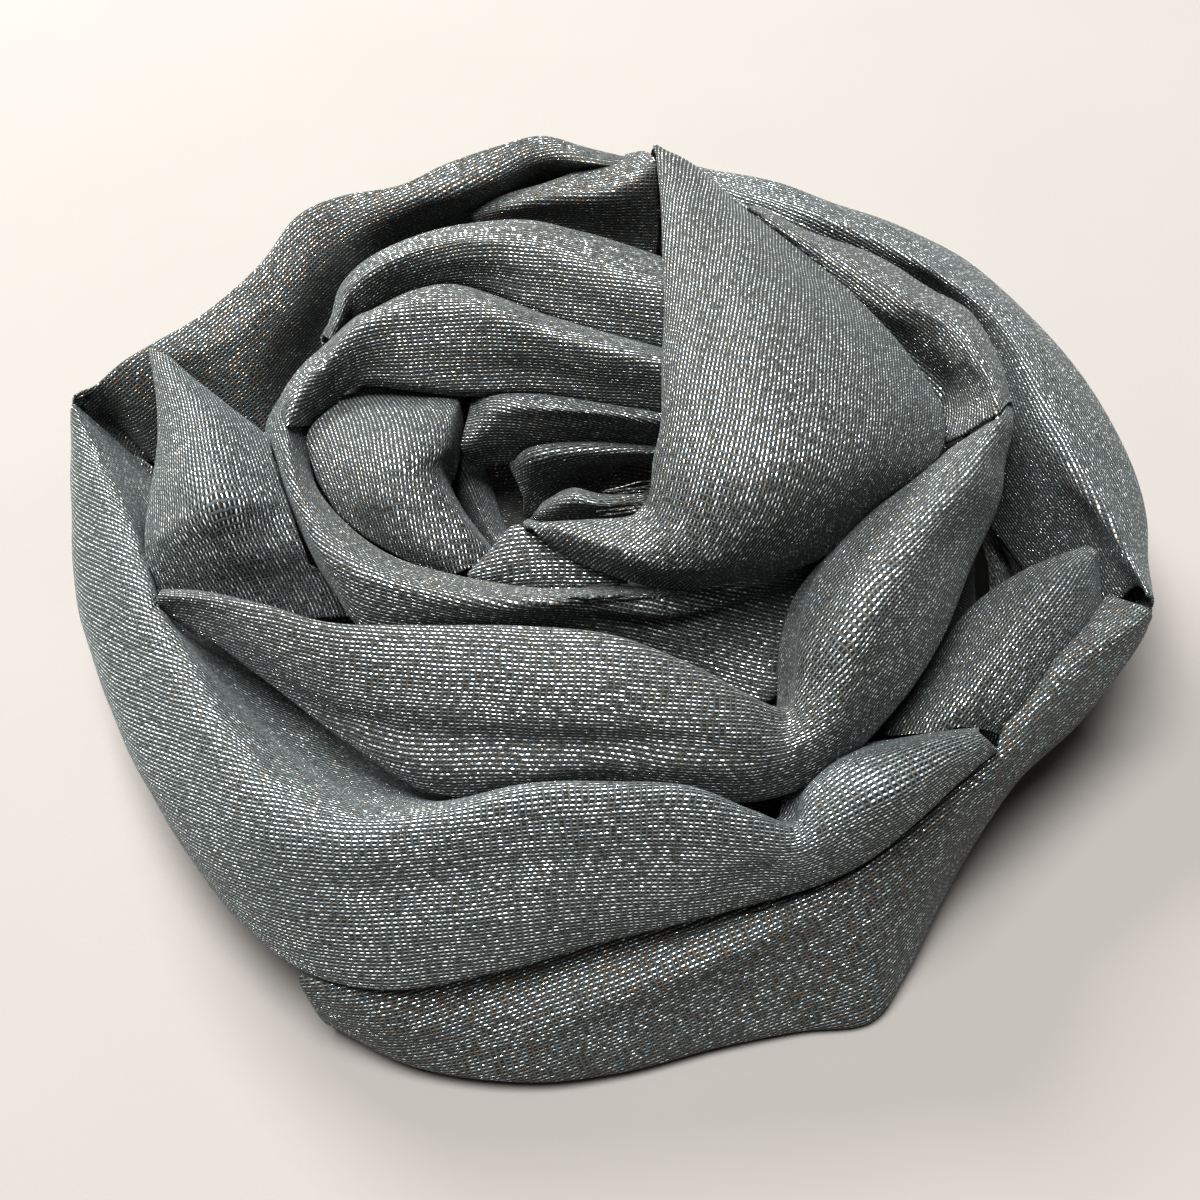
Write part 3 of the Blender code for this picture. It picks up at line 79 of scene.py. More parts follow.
WAVE_PHASE = (1.3, 1.9)      # their shift, by stretch and by wave, radians
INSIDE = (0.0, 5.0, -20.0)   # a point from which every stretch is seen on its back, mm

Colour = tuple[float, float, float, float]
Value = "Sock | Colour | float"


class Held(str, Enum):
    FOLDED = "folded"


@dataclass(frozen=True)
class FoldTable:
    """Sections of one stretch, in millimetres: points across it, rows along it."""

    columns: tuple[str, ...]
    seen: str
    sections: tuple


@dataclass(frozen=True)
class Crease:
    """A soft trough (or ridge, with a negative depth) drawn on a stretch.

    The path is given as (section, column) places in the fold table.
    """

    path: tuple[tuple[float, float], ...]
    width: float
    depth: float


def spline(corners: tuple[np.ndarray, ...], t: np.ndarray) -> np.ndarray:
    """Return the points at t on the smooth curves between the middle two of four corners."""
    p0, p1, p2, p3 = corners
    linear = (p2 - p0) * t
    square = (2.0 * p0 - 5.0 * p1 + 4.0 * p2 - p3) * t * t
    cubic = (3.0 * p1 - p0 - 3.0 * p2 + p3) * t * t * t
    return 0.5 * (2.0 * p1 + linear + square + cubic)


def smooth_at(points: np.ndarray, places: np.ndarray) -> np.ndarray:
    """Evaluate the smooth curve through points at the given places.

    Args:
        points: control points, first axis along the curve.
        places: positions from 0 to the number of points less one.

    Returns:
        One row for each place, with the other axes of points.
    """
    before = 2.0 * points[:1] - points[1:2]
    after = 2.0 * points[-1:] - points[-2:-1]
    line = np.concatenate([before, points, after])
    index = np.minimum(places.astype(int), len(points) - 2)
    t = (places - index).reshape((-1,) + (1,) * (points.ndim - 1))
    return spline(tuple(line[index + step] for step in range(4)), t)


def smooth_rows(rails: np.ndarray, places: np.ndarray) -> np.ndarray:
    """Evaluate each row of rails at its own places.

    Args:
        rails: (rows, columns, xyz) control points.
        places: (rows, points) positions across each row.

    Returns:
        (rows, points, xyz).
    """
    before = 2.0 * rails[:, :1] - rails[:, 1:2]
    after = 2.0 * rails[:, -1:] - rails[:, -2:-1]
    line = np.concatenate([before, rails, after], axis=1)
    index = np.clip(places.astype(int), 0, rails.shape[1] - 2)
    t = (places - index)[..., None]
    rows = np.arange(len(rails))[:, None]
    return spline(tuple(line[rows, index + step] for step in range(4)), t)


def unit(vectors: np.ndarray) -> np.ndarray:
    """Return the vectors at unit length."""
    return vectors / np.maximum(np.linalg.norm(vectors, axis=-1, keepdims=True), 1e-9)


def grid_normals(grid: np.ndarray) -> np.ndarray:
    """Return the unit normal at each point of a grid of points."""
    return unit(np.cross(unit(np.gradient(grid, axis=0)), unit(np.gradient(grid, axis=1))))


def averaged(values: np.ndarray, reach: int) -> np.ndarray:
    """Return the running mean of values over reach neighbours on either side."""
    padded = np.pad(values, reach, mode="edge")
    window = np.ones(2 * reach + 1) / (2 * reach + 1)
    return np.convolve(padded, window, mode="valid")


def laid_flat(grid: np.ndarray) -> np.ndarray:
    """Lay a coarse grid of cloth on a plane with as little stretch as can be.

    Every cell is laid flat by itself, and the cells are turned and joined in rounds
    until each keeps its size and its corners as well as its neighbours let it.

    Args:
        grid: (rows, columns, xyz) points of the cloth.

    Returns:
        (rows, columns, 2) places on the plane, rows running along the first axis.
    """
    rows, columns = grid.shape[:2]
    cells, pairs, own = laid_cells(grid)
    count = rows * columns
    sums = np.zeros((count, count))
    for one, two in pairs:
        first, second = cells[:, one], cells[:, two]
        np.add.at(sums, (first, first), 1.0)
        np.add.at(sums, (second, second), 1.0)
        np.add.at(sums, (first, second), -1.0)
        np.add.at(sums, (second, first), -1.0)
    sums[0, 0] += 1.0
    solve = np.linalg.inv(sums)
    middle = grid[:, columns // 2]
    run = np.concatenate([[0.0], np.cumsum(np.linalg.norm(np.diff(middle, axis=0), axis=1))])
    over = np.cumsum(np.linalg.norm(np.diff(grid, axis=1), axis=2), axis=1)
    over = np.concatenate([np.zeros((rows, 1)), over], axis=1)
    over -= over[:, columns // 2, None]
    flat = np.stack([np.repeat(run[:, None], columns, axis=1), over], axis=2).reshape(-1, 2)
    for _ in range(FLAT_ROUNDS):
        dot = cross = 0.0
        for one, two in pairs:
            want = own[:, two] - own[:, one]
            have = flat[cells[:, two]] - flat[cells[:, one]]
            dot = dot + np.sum(want * have, axis=1)
            cross = cross + want[:, 0] * have[:, 1] - want[:, 1] * have[:, 0]
        angle = np.arctan2(cross, dot)
        cosine, sine = np.cos(angle)[:, None], np.sin(angle)[:, None]
        side = np.zeros((count, 2))
        for one, two in pairs:
            want = own[:, two] - own[:, one]
            turn = want * cosine + np.stack([-want[:, 1], want[:, 0]], axis=1) * sine
            np.add.at(side, cells[:, two], turn)
            np.add.at(side, cells[:, one], -turn)
        flat = solve @ side
    return flat.reshape(rows, columns, 2)


def laid_cells(grid: np.ndarray) -> tuple[np.ndarray, tuple, np.ndarray]:
    """Lay each cell of a grid flat by itself.

    Args:
        grid: (rows, columns, xyz) points.

    Returns:
        The corners' numbers of each cell, the pairs of corners that are joined, and
        the corners' places on the cell's own plane.
    """
    rows, columns = grid.shape[:2]
    number = np.arange(rows * columns).reshape(rows, columns)
    corners = (number[:-1, :-1], number[1:, :-1], number[1:, 1:], number[:-1, 1:])
    cells = np.stack([corner.ravel() for corner in corners], axis=1)
    places = grid.reshape(-1, 3)[cells]
    along = unit(places[:, 1] - places[:, 0] + places[:, 2] - places[:, 3])
    over = places[:, 3] - places[:, 0] + places[:, 2] - places[:, 1]
    over = unit(over - along * np.sum(over * along, axis=1, keepdims=True))
    gap = places - places[:, :1]
    flat_x = np.sum(gap * along[:, None], axis=2)
    flat_y = np.sum(gap * over[:, None], axis=2)
    pairs = ((0, 1), (1, 2), (2, 3), (3, 0), (0, 2), (1, 3))
    return cells, pairs, np.stack([flat_x, flat_y], axis=2)


def turned(flat: np.ndarray, degrees: float) -> np.ndarray:
    """Turn flat places so that their first axis follows the threads' angle."""
    middle = flat.mean(axis=(0, 1))
    ends = flat[-1].mean(axis=0) - flat[0].mean(axis=0)
    angle = math.radians(degrees) - math.atan2(ends[1], ends[0])
    turn = np.array([[math.cos(angle), math.sin(angle)], [-math.sin(angle), math.cos(angle)]])
    return (flat - middle) @ turn


def mesh_points(mesh: bpy.types.Mesh) -> np.ndarray:
    """Return the places of a mesh's vertices, in metres."""
    places = np.empty(len(mesh.vertices) * 3)
    mesh.vertices.foreach_get("co", places)
    return places.reshape(-1, 3)


def map_threads(mesh: bpy.types.Mesh, flat: np.ndarray) -> None:
    """Give a mesh its thread map, as its only UV map.

    Args:
        mesh: the mesh to map.
        flat: the place of each vertex on the flat cloth, in metres.
    """
    for old in list(mesh.uv_layers):
        mesh.uv_layers.remove(old)
    layer = mesh.uv_layers.new(name=UV_NAME)
    corners = np.empty(len(mesh.loops), dtype=np.int64)
    mesh.loops.foreach_get("vertex_index", corners)
    layer.data.foreach_set("uv", flat[corners].ravel())


class ClothPile:
    """What lies already: search trees of the pieces that are built."""

    def __init__(self) -> None:
        """Start with an empty pile."""
        self.trees: list[BVHTree] = []

    def add_piece(self, piece: bpy.types.Object) -> None:
        """Add a finished piece to the pile."""
        faces = [tuple(face.vertices) for face in piece.data.polygons]
        self.trees.append(BVHTree.FromPolygons(mesh_points(piece.data).tolist(), faces))

    def touches(self, point: np.ndarray, reach: float) -> bool:
        """Tell whether a point, in metres, is nearer than reach to the pile."""
        place = Vector(point)
        return any(tree.find_nearest(place, reach)[0] is not None for tree in self.trees)


@dataclass
class ClothStretch:
    """One stretch of the scarf: its folds, its creases and how its threads run.

    Each section is probed at places across it, to find where it meets what lies
    already. The thread angle is in degrees, and the waves are in millimetres.
    """

    node: str
    table: FoldTable
    creases: tuple[Crease, ...] = ()
    thread_angle: float = 0.0
    unevenness: float = 0.16
    rests_on: str = "core_cloth"
    held: Held = Held.FOLDED
    part_of: str = ""
    section_steps: int = 5
    probes: int = 72
    smoothings: int = 3
    measured_columns: int = 13
    waves: int = 6
    shortest_wave: float = 9.0
    wave_step: float = 5.0
    flat_size: tuple[float, float] = (0.1, 0.05)
    places: np.ndarray = field(default=None, repr=False)

    @property
    def name(self) -> str:
        """The name of the piece of cloth."""
        return self.node + "_cloth"

    def rails(self, places: np.ndarray) -> np.ndarray:
        """Return the section's control points at places along the stretch, in metres."""
        rails = smooth_at(np.asarray(self.table.sections, float), places)
        rails[..., 2] = np.maximum(rails[..., 2], TABLE_LIFT)
        return rails * MM

    def seen_place(self) -> float:
        """Return the seen column's place across the table."""
        return float(self.table.columns.index(self.table.seen))

    def spans(self, pile: ClothPile) -> tuple[np.ndarray, np.ndarray, np.ndarray]:
        """Find how far each section reaches before it meets what lies already.

        Args:
            pile: the stretches that are built.

        Returns:
            Places along, and the first and last place across at each of them.
        """
        sections = len(self.table.sections)
        columns = len(self.table.columns)
        steps = self.probes
        along = np.linspace(0.0, sections - 1.0, (sections - 1) * self.section_steps + 1)
        across = np.linspace(0.0, columns - 1.0, steps + 1)
        grid = smooth_rows(self.rails(along), np.tile(across, (len(along), 1)))
        normals = grid_normals(grid) * self.outward(grid)
        middle = grid - normals * (CLOTH_THICKNESS / 2.0 * MM)
        reach = (CLOTH_THICKNESS / 2.0 + SEAM) * MM
        anchor = int(round(self.seen_place() / (columns - 1.0) * steps))
        found = []
        for row in range(len(along)):
            if pile.touches(middle[row, anchor], reach):
                found.append(None)
                continue
            low = high = anchor
            while low > 0 and not pile.touches(middle[row, low - 1], reach):
                low -= 1
            while high < steps and not pile.touches(middle[row, high + 1], reach):
                high += 1
            found.append((low, high))
        clear = [row for row, span in enumerate(found) if span is not None]
        kept = slice(clear[0], clear[-1] + 1)
        spans = np.array([span or (anchor - 2, anchor + 2) for span in found[kept]], float)
        lows, highs = spans[:, 0], spans[:, 1]
        for _ in range(self.smoothings):
            lows = np.maximum(lows, averaged(lows, 1))
            highs = np.minimum(highs, averaged(highs, 1))
        scale = (columns - 1.0) / steps
        return along[kept], lows * scale, highs * scale

    def outward(self, grid: np.ndarray) -> float:
        """Return 1 if the grid's normals look away from the rosette's middle, or -1."""
        away = grid - np.array(INSIDE) * MM
        return 1.0 if np.sum(grid_normals(grid) * away) > 0.0 else -1.0

    def fine_grid(self, pile: ClothPile) -> np.ndarray:
        """Return the fine grid of points of the stretch, tucked in, in metres."""
        along, lows, highs = self.spans(pile)
        places = np.linspace(lows, highs, self.measured_columns, axis=1)
        coarse = smooth_rows(self.rails(along), places)
        length = np.linalg.norm(np.diff(coarse, axis=0), axis=2).sum(axis=0).max()
        width = np.linalg.norm(np.diff(coarse, axis=1), axis=2).sum(axis=1).max()
        rows = max(12, int(length / (MESH_STEP * MM)))
        columns = max(10, int(width / (MESH_STEP * MM)))
        fine = np.linspace(along[0], along[-1], rows)
        low = np.interp(fine, along, lows)
        high = np.interp(fine, along, highs)
        across = np.linspace(low, high, columns, axis=1)
        grid = smooth_rows(self.rails(fine), across)
        self.places = np.stack([np.repeat(fine[:, None], columns, axis=1), across], axis=2)
        return grid

    def flattened(self) -> np.ndarray:
        """Return the place of each fine point on the flat cloth, in metres."""
        sections = len(self.table.sections)
        columns = len(self.table.columns)
        rows = min(FLAT_MOST[0], sections * FLAT_STEPS)
        over = min(FLAT_MOST[1], columns * FLAT_STEPS)
        along = np.linspace(0.0, sections - 1.0, rows)
        across = np.linspace(0.0, columns - 1.0, over)
        whole = smooth_rows(self.rails(along), np.tile(across, (rows, 1)))
        flat = laid_flat(whole)
        flat = smooth_at(flat, self.places[:, 0, 0] * (rows - 1.0) / (sections - 1.0))
        flat = smooth_rows(flat, self.places[..., 1] * (over - 1.0) / (columns - 1.0))
        return turned(flat, self.thread_angle)

    def creased(self, grid: np.ndarray, flat: np.ndarray) -> np.ndarray:
        """Press the listed creases and a soft unevenness into the grid."""
        normals = grid_normals(grid) * self.outward(grid)
        depth = np.zeros(grid.shape[:2])
        for crease in self.creases:
            depth += self.trough(crease, flat)
        x, y = flat[..., 0] / MM, flat[..., 1] / MM
        seed = sum(ord(letter) for letter in self.name)
        for wave in range(self.waves):
            turn = seed * WAVE_TURN[0] + wave * WAVE_TURN[1]
            length = self.shortest_wave + self.wave_step * wave
            phase = seed * WAVE_PHASE[0] + wave * WAVE_PHASE[1]
            run = x * math.cos(turn) * 0.5 + y * math.sin(turn)
            depth += np.sin(run * 2.0 * math.pi / length + phase) * self.unevenness / 3.0
        depth *= self.still_edges(grid)
        moved = grid - normals * (depth * MM)[..., None]
        moved[..., 2] = np.maximum(moved[..., 2], TABLE_LIFT * MM)
        return moved

    def still_edges(self, grid: np.ndarray) -> np.ndarray:
        """Return 1 inside the stretch, falling to 0 at its tucked-in edges."""
        share = np.ones(grid.shape[:2])
        for axis in (0, 1):
            step = np.linalg.norm(np.diff(grid, axis=axis), axis=2) / MM
            zero = np.zeros_like(np.take(step, [0], axis))
            run = np.cumsum(np.concatenate([zero, step], axis=axis), axis=axis)
            rest = np.take(run, [run.shape[axis] - 1], axis) - run
            near = np.clip(np.minimum(run, rest) / EDGE_FADE, 0.0, 1.0)
            share = np.minimum(share, near)
        return share * share * (3.0 - 2.0 * share)

    def trough(self, crease: Crease, flat: np.ndarray) -> np.ndarray:
        """Return how deep one crease presses each point, in millimetres."""
        marks = []
        for section, column in crease.path:
            gap = (self.places[..., 0] - section) ** 2 * CREASE_ALONG
            gap += (self.places[..., 1] - column) ** 2
            marks.append(flat[np.unravel_index(np.argmin(gap), gap.shape)])
        line = smooth_at(np.array(marks), np.linspace(0.0, len(marks) - 1.0, CREASE_STEPS))
        best = np.full(flat.shape[:2], 1e9)
        share = np.zeros(flat.shape[:2])
        for index in range(len(line) - 1):
            start, run = line[index], line[index + 1] - line[index]
            t = np.clip(((flat - start) @ run) / max(float(run @ run), 1e-12), 0.0, 1.0)
            gap = np.linalg.norm(flat - start - t[..., None] * run, axis=2)
            nearer = gap < best
            best = np.where(nearer, gap, best)
            share = np.where(nearer, (index + t) / (len(line) - 1), share)
        taper = np.sin(np.clip(share, 0.0, 1.0) * math.pi) ** CREASE_TAPER
        return np.exp(-((best / MM) / crease.width) ** 2) * crease.depth * taper

    def build(self, pile: ClothPile) -> bpy.types.Object:
        """Build the stretch as a thin shell.

        Args:
            pile: the stretches that are built; this one joins them.

        Returns:
            The finished mesh object.
        """
        grid = self.fine_grid(pile)
        flat = self.flattened()
        grid = self.creased(grid, flat)
        if self.outward(grid) < 0.0:
            grid, flat = grid[:, ::-1], flat[:, ::-1]
        piece = lofted_piece(self.name, grid, flat)
        thicken(piece)
        pile.add_piece(piece)
        self.measure(grid, flat)
        return piece

    def measure(self, grid: np.ndarray, flat: np.ndarray) -> None:
        """Work out the strip that the stretch was before it was folded, in metres."""
        sides = np.diff(flat, axis=0)[:, :-1], np.diff(flat, axis=1)[:-1]
        cells = sides[0][..., 0] * sides[1][..., 1] - sides[0][..., 1] * sides[1][..., 0]
        runs = np.linalg.norm(np.diff(grid, axis=0), axis=2).sum(axis=0)
        area = float(np.abs(cells).sum())
        length = float(np.median(runs))
        self.flat_size = (area / length, length)


def lofted_piece(name: str, grid: np.ndarray, flat: np.ndarray) -> bpy.types.Object:
    """Make a mesh grid and carry its points to the lofted places.

    Args:
        name: the piece's name.
        grid: (rows, columns, xyz) points in metres.
        flat: (rows, columns, 2) places on the flat cloth, kept as the UV map.

    Returns:
        The open sheet.
    """
    rows, columns = grid.shape[:2]
    bpy.ops.object.select_all(action="DESELECT")
    bpy.ops.mesh.primitive_grid_add(
        x_subdivisions=rows - 1, y_subdivisions=columns - 1, size=1.0, calc_uvs=False
    )
    piece = bpy.context.object
    piece.name = name
    piece.data.name = name
    points = grid.transpose(1, 0, 2).reshape(-1, 3)
    piece.data.vertices.foreach_set("co", points.ravel())
    map_threads(piece.data, flat.transpose(1, 0, 2).reshape(-1, 2))
    piece.data.update()
    return piece


def thicken(piece: bpy.types.Object) -> None:
    """Give an open sheet its thickness below the side that is seen, shaded smooth."""
    wall = piece.modifiers.new("thickness", "SOLIDIFY")
    wall.thickness = CLOTH_THICKNESS * MM
    wall.offset = -1.0
    wall.use_quality_normals = True
    bpy.ops.object.modifier_apply(modifier=wall.name)
    bpy.ops.object.shade_smooth()


@dataclass
class WoundCore:
    """The hidden layers in the middle, on the form of their solid, in millimetres."""

    name: str = "core_cloth"
    merge_distance: float = 0.02
    axis: tuple[float, float] = (0.0, 5.0)
    rim: float = 40.0
    shoulder: float = 32.2

    def build(self, solid: bpy.types.Object, pile: ClothPile) -> bpy.types.Object:
        """Build the core's cloth from a merged and rounded copy of its solid.

        Args:
            solid: the object of the solid's node.
            pile: the pieces that are built; the core joins them.

        Returns:
            The finished mesh object.
        """
        bpy.ops.object.select_all(action="DESELECT")
        solid.hide_set(False)
        solid.select_set(True)
        bpy.context.view_layer.objects.active = solid
        bpy.ops.object.duplicate()
        piece = bpy.context.object
        piece.name = self.name
        piece.data.name = self.name
        piece.data.materials.clear()
        piece.parent = None
        for key in list(piece.keys()):
            del piece[key]
        self.round_off(piece)
        self.lay_threads(piece)
        pile.add_piece(piece)
        return piece

    def round_off(self, piece: bpy.types.Object) -> None:
        """Merge the copy's loose triangles and round them off."""
        bpy.ops.object.mode_set(mode="EDIT")
        bpy.ops.mesh.select_all(action="SELECT")
        bpy.ops.mesh.remove_doubles(threshold=self.merge_distance * MM)
        bpy.ops.mesh.tris_convert_to_quads()
        bpy.ops.object.mode_set(mode="OBJECT")
        rounding = piece.modifiers.new("rounding", "SUBSURF")
        rounding.levels = rounding.render_levels = 2
        bpy.ops.object.modifier_apply(modifier=rounding.name)
        bpy.ops.object.shade_smooth()

    def lay_threads(self, piece: bpy.types.Object) -> None:
        """Give the core its UV map: distance from the axis, down over the edge."""
        places = mesh_points(piece.data)
        out = places[:, :2] - np.array(self.axis) * MM
        radius = np.maximum(np.linalg.norm(out, axis=1), 1e-6)
        below = np.maximum(self.shoulder * MM - places[:, 2], 0.0)
        drop = np.where(radius > self.rim * MM, below, 0.0)
        map_threads(piece.data, out * (1.0 + drop / radius)[:, None])


@dataclass(frozen=True)
class Sock:
    """A socket's value, written in sums as if it were a number."""

    board: NodeBoard
    out: bpy.types.NodeSocket

    def __add__(self, other: Value) -> Sock:
        """Add."""
        return self.board.math("ADD", self, other)

    __radd__ = __add__

    def __sub__(self, other: Value) -> Sock:
        """Subtract."""
        return self.board.math("SUBTRACT", self, other)

    def __rsub__(self, other: Value) -> Sock:
        """Subtract this from other."""
        return self.board.math("SUBTRACT", other, self)

    def __mul__(self, other: Value) -> Sock:
        """Multiply."""
        return self.board.math("MULTIPLY", self, other)

    __rmul__ = __mul__

    def __truediv__(self, other: Value) -> Sock:
        """Divide."""
        return self.board.math("DIVIDE", self, other)

    def __rtruediv__(self, other: Value) -> Sock:
        """Divide other by this."""
        return self.board.math("DIVIDE", other, self)

    def floor(self) -> Sock:
        """Return the whole number below."""
        return self.board.math("FLOOR", self)

    def clamped(self) -> Sock:
        """Keep the value from 0 to 1."""
        return self.board.math("ADD", self, 0.0, clamp=True)


class NodeBoard:
    """The nodes of one material, made by one method and linked as they come."""

    def __init__(self, name: str) -> None:
        """Start a material with an empty board."""
        self.material = bpy.data.materials.new(name)
        self.material.use_nodes = True
        self.tree = self.material.node_tree
        self.tree.nodes.clear()

    def node(self, kind: str, settings: dict | None = None, **sockets: Value) -> bpy.types.Node:
        """Make a node.

        Args:
            kind: the node's type.
            settings: its own settings, which are set first.
            **sockets: values or links of its inputs; an underscore stands for a space.

        Returns:
            The node.
        """
        made = self.tree.nodes.new(kind)
        for name, value in (settings or {}).items():
            setattr(made, name, value)
        for name, value in sockets.items():
            self.feed(made.inputs[name.replace("_", " ")], value)
        return made

    def feed(self, socket: bpy.types.NodeSocket, value: Value) -> None:
        """Link a socket to a value that varies, or set it to one that doesn't."""
        if isinstance(value, Sock):
            self.tree.links.new(value.out, socket)
        else:
            socket.default_value = value

    def out(self, made: bpy.types.Node, name: str) -> Sock:
        """Return a node's output by its name."""
        return Sock(self, made.outputs[name])

    def math(self, operation: str, *values: Value, clamp: bool = False) -> Sock:
        """Return the outcome of one Math node."""
        made = self.tree.nodes.new("ShaderNodeMath")
        made.operation = operation
        made.use_clamp = clamp
        for socket, value in zip(made.inputs, values):
            self.feed(socket, value)
        return Sock(self, made.outputs[0])

    def blend(self, share: Value, one: Value, two: Value) -> Sock:
        """Return the colour between two colours."""
        made = self.tree.nodes.new("ShaderNodeMix")
        made.data_type = "RGBA"
        self.feed(made.inputs[0], share)
        self.feed(made.inputs[6], one)
        self.feed(made.inputs[7], two)
        return Sock(self, made.outputs[2])

    def scaled(self, vector: Sock, factor: float) -> Sock:
        """Return a vector at another scale."""
        made = self.tree.nodes.new("ShaderNodeVectorMath")
        made.operation = "SCALE"
        self.feed(made.inputs[0], vector)
        made.inputs["Scale"].default_value = factor
        return Sock(self, made.outputs[0])

    def noise(self, vector: Sock, scale: float, detail: float = 2.0) -> Sock:
        """Return noise from 0 to 1, scale waves to a unit of the vector."""
        made = self.node(
            "ShaderNodeTexNoise", {"noise_dimensions": "3D"},
            Vector=vector, Scale=scale, Detail=detail,
        )
        return self.out(made, "Fac")

    def finish(self, surface: bpy.types.Node) -> bpy.types.Material:
        """Link the surface to the material's output."""
        end = self.tree.nodes.new("ShaderNodeOutputMaterial")
        self.tree.links.new(surface.outputs[0], end.inputs["Surface"])
        return self.material


@dataclass(frozen=True)
class ShimmerWeave:
    """Open plain weave: thin matt threads crossed by rows of metallic thread.

    A dash is where a metallic thread lies over a matt one. Its length and width are
    half sizes, in pitches of the threads, and so are the matt thread's width, the
    stagger and slip of the rows, and the reaches of bend, lean and jitter. Scales are
    waves to a millimetre, the relief is in millimetres, and glitter is how far the
    dashes tilt.
    """

    name: str
    silver: Colour = (0.97, 1.0, 1.0, 1.0)
    # Painted reflection: on a share of the dashes (warm_share) this warm brown stands in for
    # silver, the room's warm light painted in as a reflection.
    warm_reflection: Colour = (0.52, 0.46, 0.38, 1.0)
    warm_share: float = 0.25
    matt: Colour = (0.052, 0.064, 0.065, 1.0)
    gap: Colour = (0.0015, 0.002, 0.002, 1.0)
    bend_scale: float = 0.05
    bend_reach: float = 2.6
    lean_scale: float = 0.045
    lean_reach: float = 3.0
    jitter_scale: float = 0.7
    jitter_reach: tuple[float, float] = (0.34, 0.26)
    dash_length: float = 0.76
    length_spread: float = 0.30
    dash_width: float = 0.225
    warp_width: float = 0.20
    stagger: float = 0.20
    slip: float = 0.46
    dash_edge: float = 4.0
    warp_edge: float = 3.0
    crown: tuple[float, float] = (0.62, 0.38)
    slope: tuple[float, float] = (0.7, 1.5)
    warp_height: float = 0.45
    glitter: float = 2.3
    relief: float = 0.13
    roughness: tuple[float, float, float] = (0.80, 0.45, 0.24)
    metal: tuple[float, float] = (0.55, 0.40)
    # Painted glitter in part, random tone in part: most dashes are darkened towards this colour,
    # and only those with high luck keep full silver, as if only they caught the light.
    unlit_dash: Colour = (0.04, 0.048, 0.05, 1.0)
    unlit_share: float = 0.74
    gain: float = 1.35
    wear_scale: float = 0.035
    wear: float = 0.6
    fuzz_scale: float = 3.2
    fuzz: float = 0.20
    sheen: float = 0.10
    sheen_tint: Colour = (0.72, 0.84, 0.86, 1.0)

    def dress(self, piece: bpy.types.Object, material: bpy.types.Material) -> None:
        """Put the finish on a piece."""
        piece.data.materials.clear()
        piece.data.materials.append(material)

    def material(self) -> bpy.types.Material:
        """Make the weave's material.

        Returns:
            The material, which reads the piece's thread map.
        """
        board = NodeBoard(self.name)
        threads = board.out(board.node("ShaderNodeUVMap", {"uv_map": UV_NAME}), "UV")
        place = board.scaled(threads, 1.0 / MM)
        parts = board.node("ShaderNodeSeparateXYZ", None, Vector=place)
        bend = (board.noise(place, self.bend_scale) - 0.5) * self.bend_reach
        lean = board.noise(board.scaled(place, -1.0), self.lean_scale) - 0.5
        jitter = board.noise(place, self.jitter_scale) - 0.5
        s = board.out(parts, "X") / WARP_PITCH + bend + jitter * self.jitter_reach[0]
        r = board.out(parts, "Y") / WEFT_PITCH + lean * self.lean_reach
        r = r + jitter * self.jitter_reach[1]
        row = r.floor()
        odd = row - (row / 2.0).floor() * 2.0
        slip = board.node("ShaderNodeTexWhiteNoise", {"noise_dimensions": "1D"}, W=row)
        brick = s + odd * self.stagger + board.out(slip, "Value") * self.slip
        cell = brick.floor()
        along = (brick - cell - 0.5) * 2.0
        across = r - row - 0.5
        key = board.out(board.node("ShaderNodeCombineXYZ", None, X=cell, Y=row, Z=0.0), "Vector")
        chance = board.node("ShaderNodeTexWhiteNoise", {"noise_dimensions": "2D"}, Vector=key)
        luck = board.node("ShaderNodeSeparateColor", None, Color=board.out(chance, "Color"))
        bright = board.out(luck, "Red")
        tilt = board.out(luck, "Green")
        twist = board.out(luck, "Blue")
        length = self.dash_length + (tilt - 0.5) * self.length_spread
        dome = 1.0 - along * along / (length * length) - across * across / self.dash_width ** 2
        dash = (dome * self.dash_edge).clamped()
        near = brick + 0.5
        off = near - near.floor() - 0.5
        ridge = 1.0 - off * off / self.warp_width ** 2
        warp = (ridge * self.warp_edge).clamped() * (1.0 - dash)
        shine = self.shine(board, bright, twist)
        worn = (board.noise(place, self.wear_scale, 3.0) - 0.45).clamped()
        thread = board.blend(warp, self.gap, self.matt)
        colour = board.blend(dash, thread, shine)
        colour = board.blend(worn * self.wear, colour, self.matt)
        flare = (bright * 4.0 - 3.0).clamped()
        matt, dull, clear = self.roughness
        rough = matt - dash * (dull + flare * clear)
        slope = (tilt - 0.5) * along * self.slope[0] + (twist - 0.5) * across * self.slope[1]
        lift = dash * (self.crown[0] + dome.clamped() * self.crown[1])
        lift = lift + dash * slope * self.glitter
        lift = lift + warp * ridge.clamped() * self.warp_height
        lift = lift + (board.noise(place, self.fuzz_scale, 3.0) - 0.5) * self.fuzz
        bump = board.node(
            "ShaderNodeBump", None, Strength=1.0, Distance=self.relief * MM, Height=lift,
        )
        surface = board.node(
            "ShaderNodeBsdfPrincipled", None,
            Base_Color=colour, Roughness=rough,
            Metallic=dash * (self.metal[0] + flare * self.metal[1]),
            Normal=board.out(bump, "Normal"),
            Sheen_Weight=self.sheen, Sheen_Roughness=0.45, Sheen_Tint=self.sheen_tint,
        )
        return board.finish(surface)

    def shine(self, board: NodeBoard, bright: Sock, twist: Sock) -> Sock:
        """Return the colour of each metallic dash: silver, or a painted warm reflection on a
        share of them, darkened at random (random tone in part, painted glitter in part) so that
        only some keep full silver.
        """
        warm = (twist / max(self.warm_share, 1e-3)).floor().clamped()
        base = board.blend(warm, self.warm_reflection, self.silver)
        dark = board.blend(self.unlit_share, base, self.unlit_dash)
        return board.blend((bright * bright * self.gain).clamped(), dark, base)


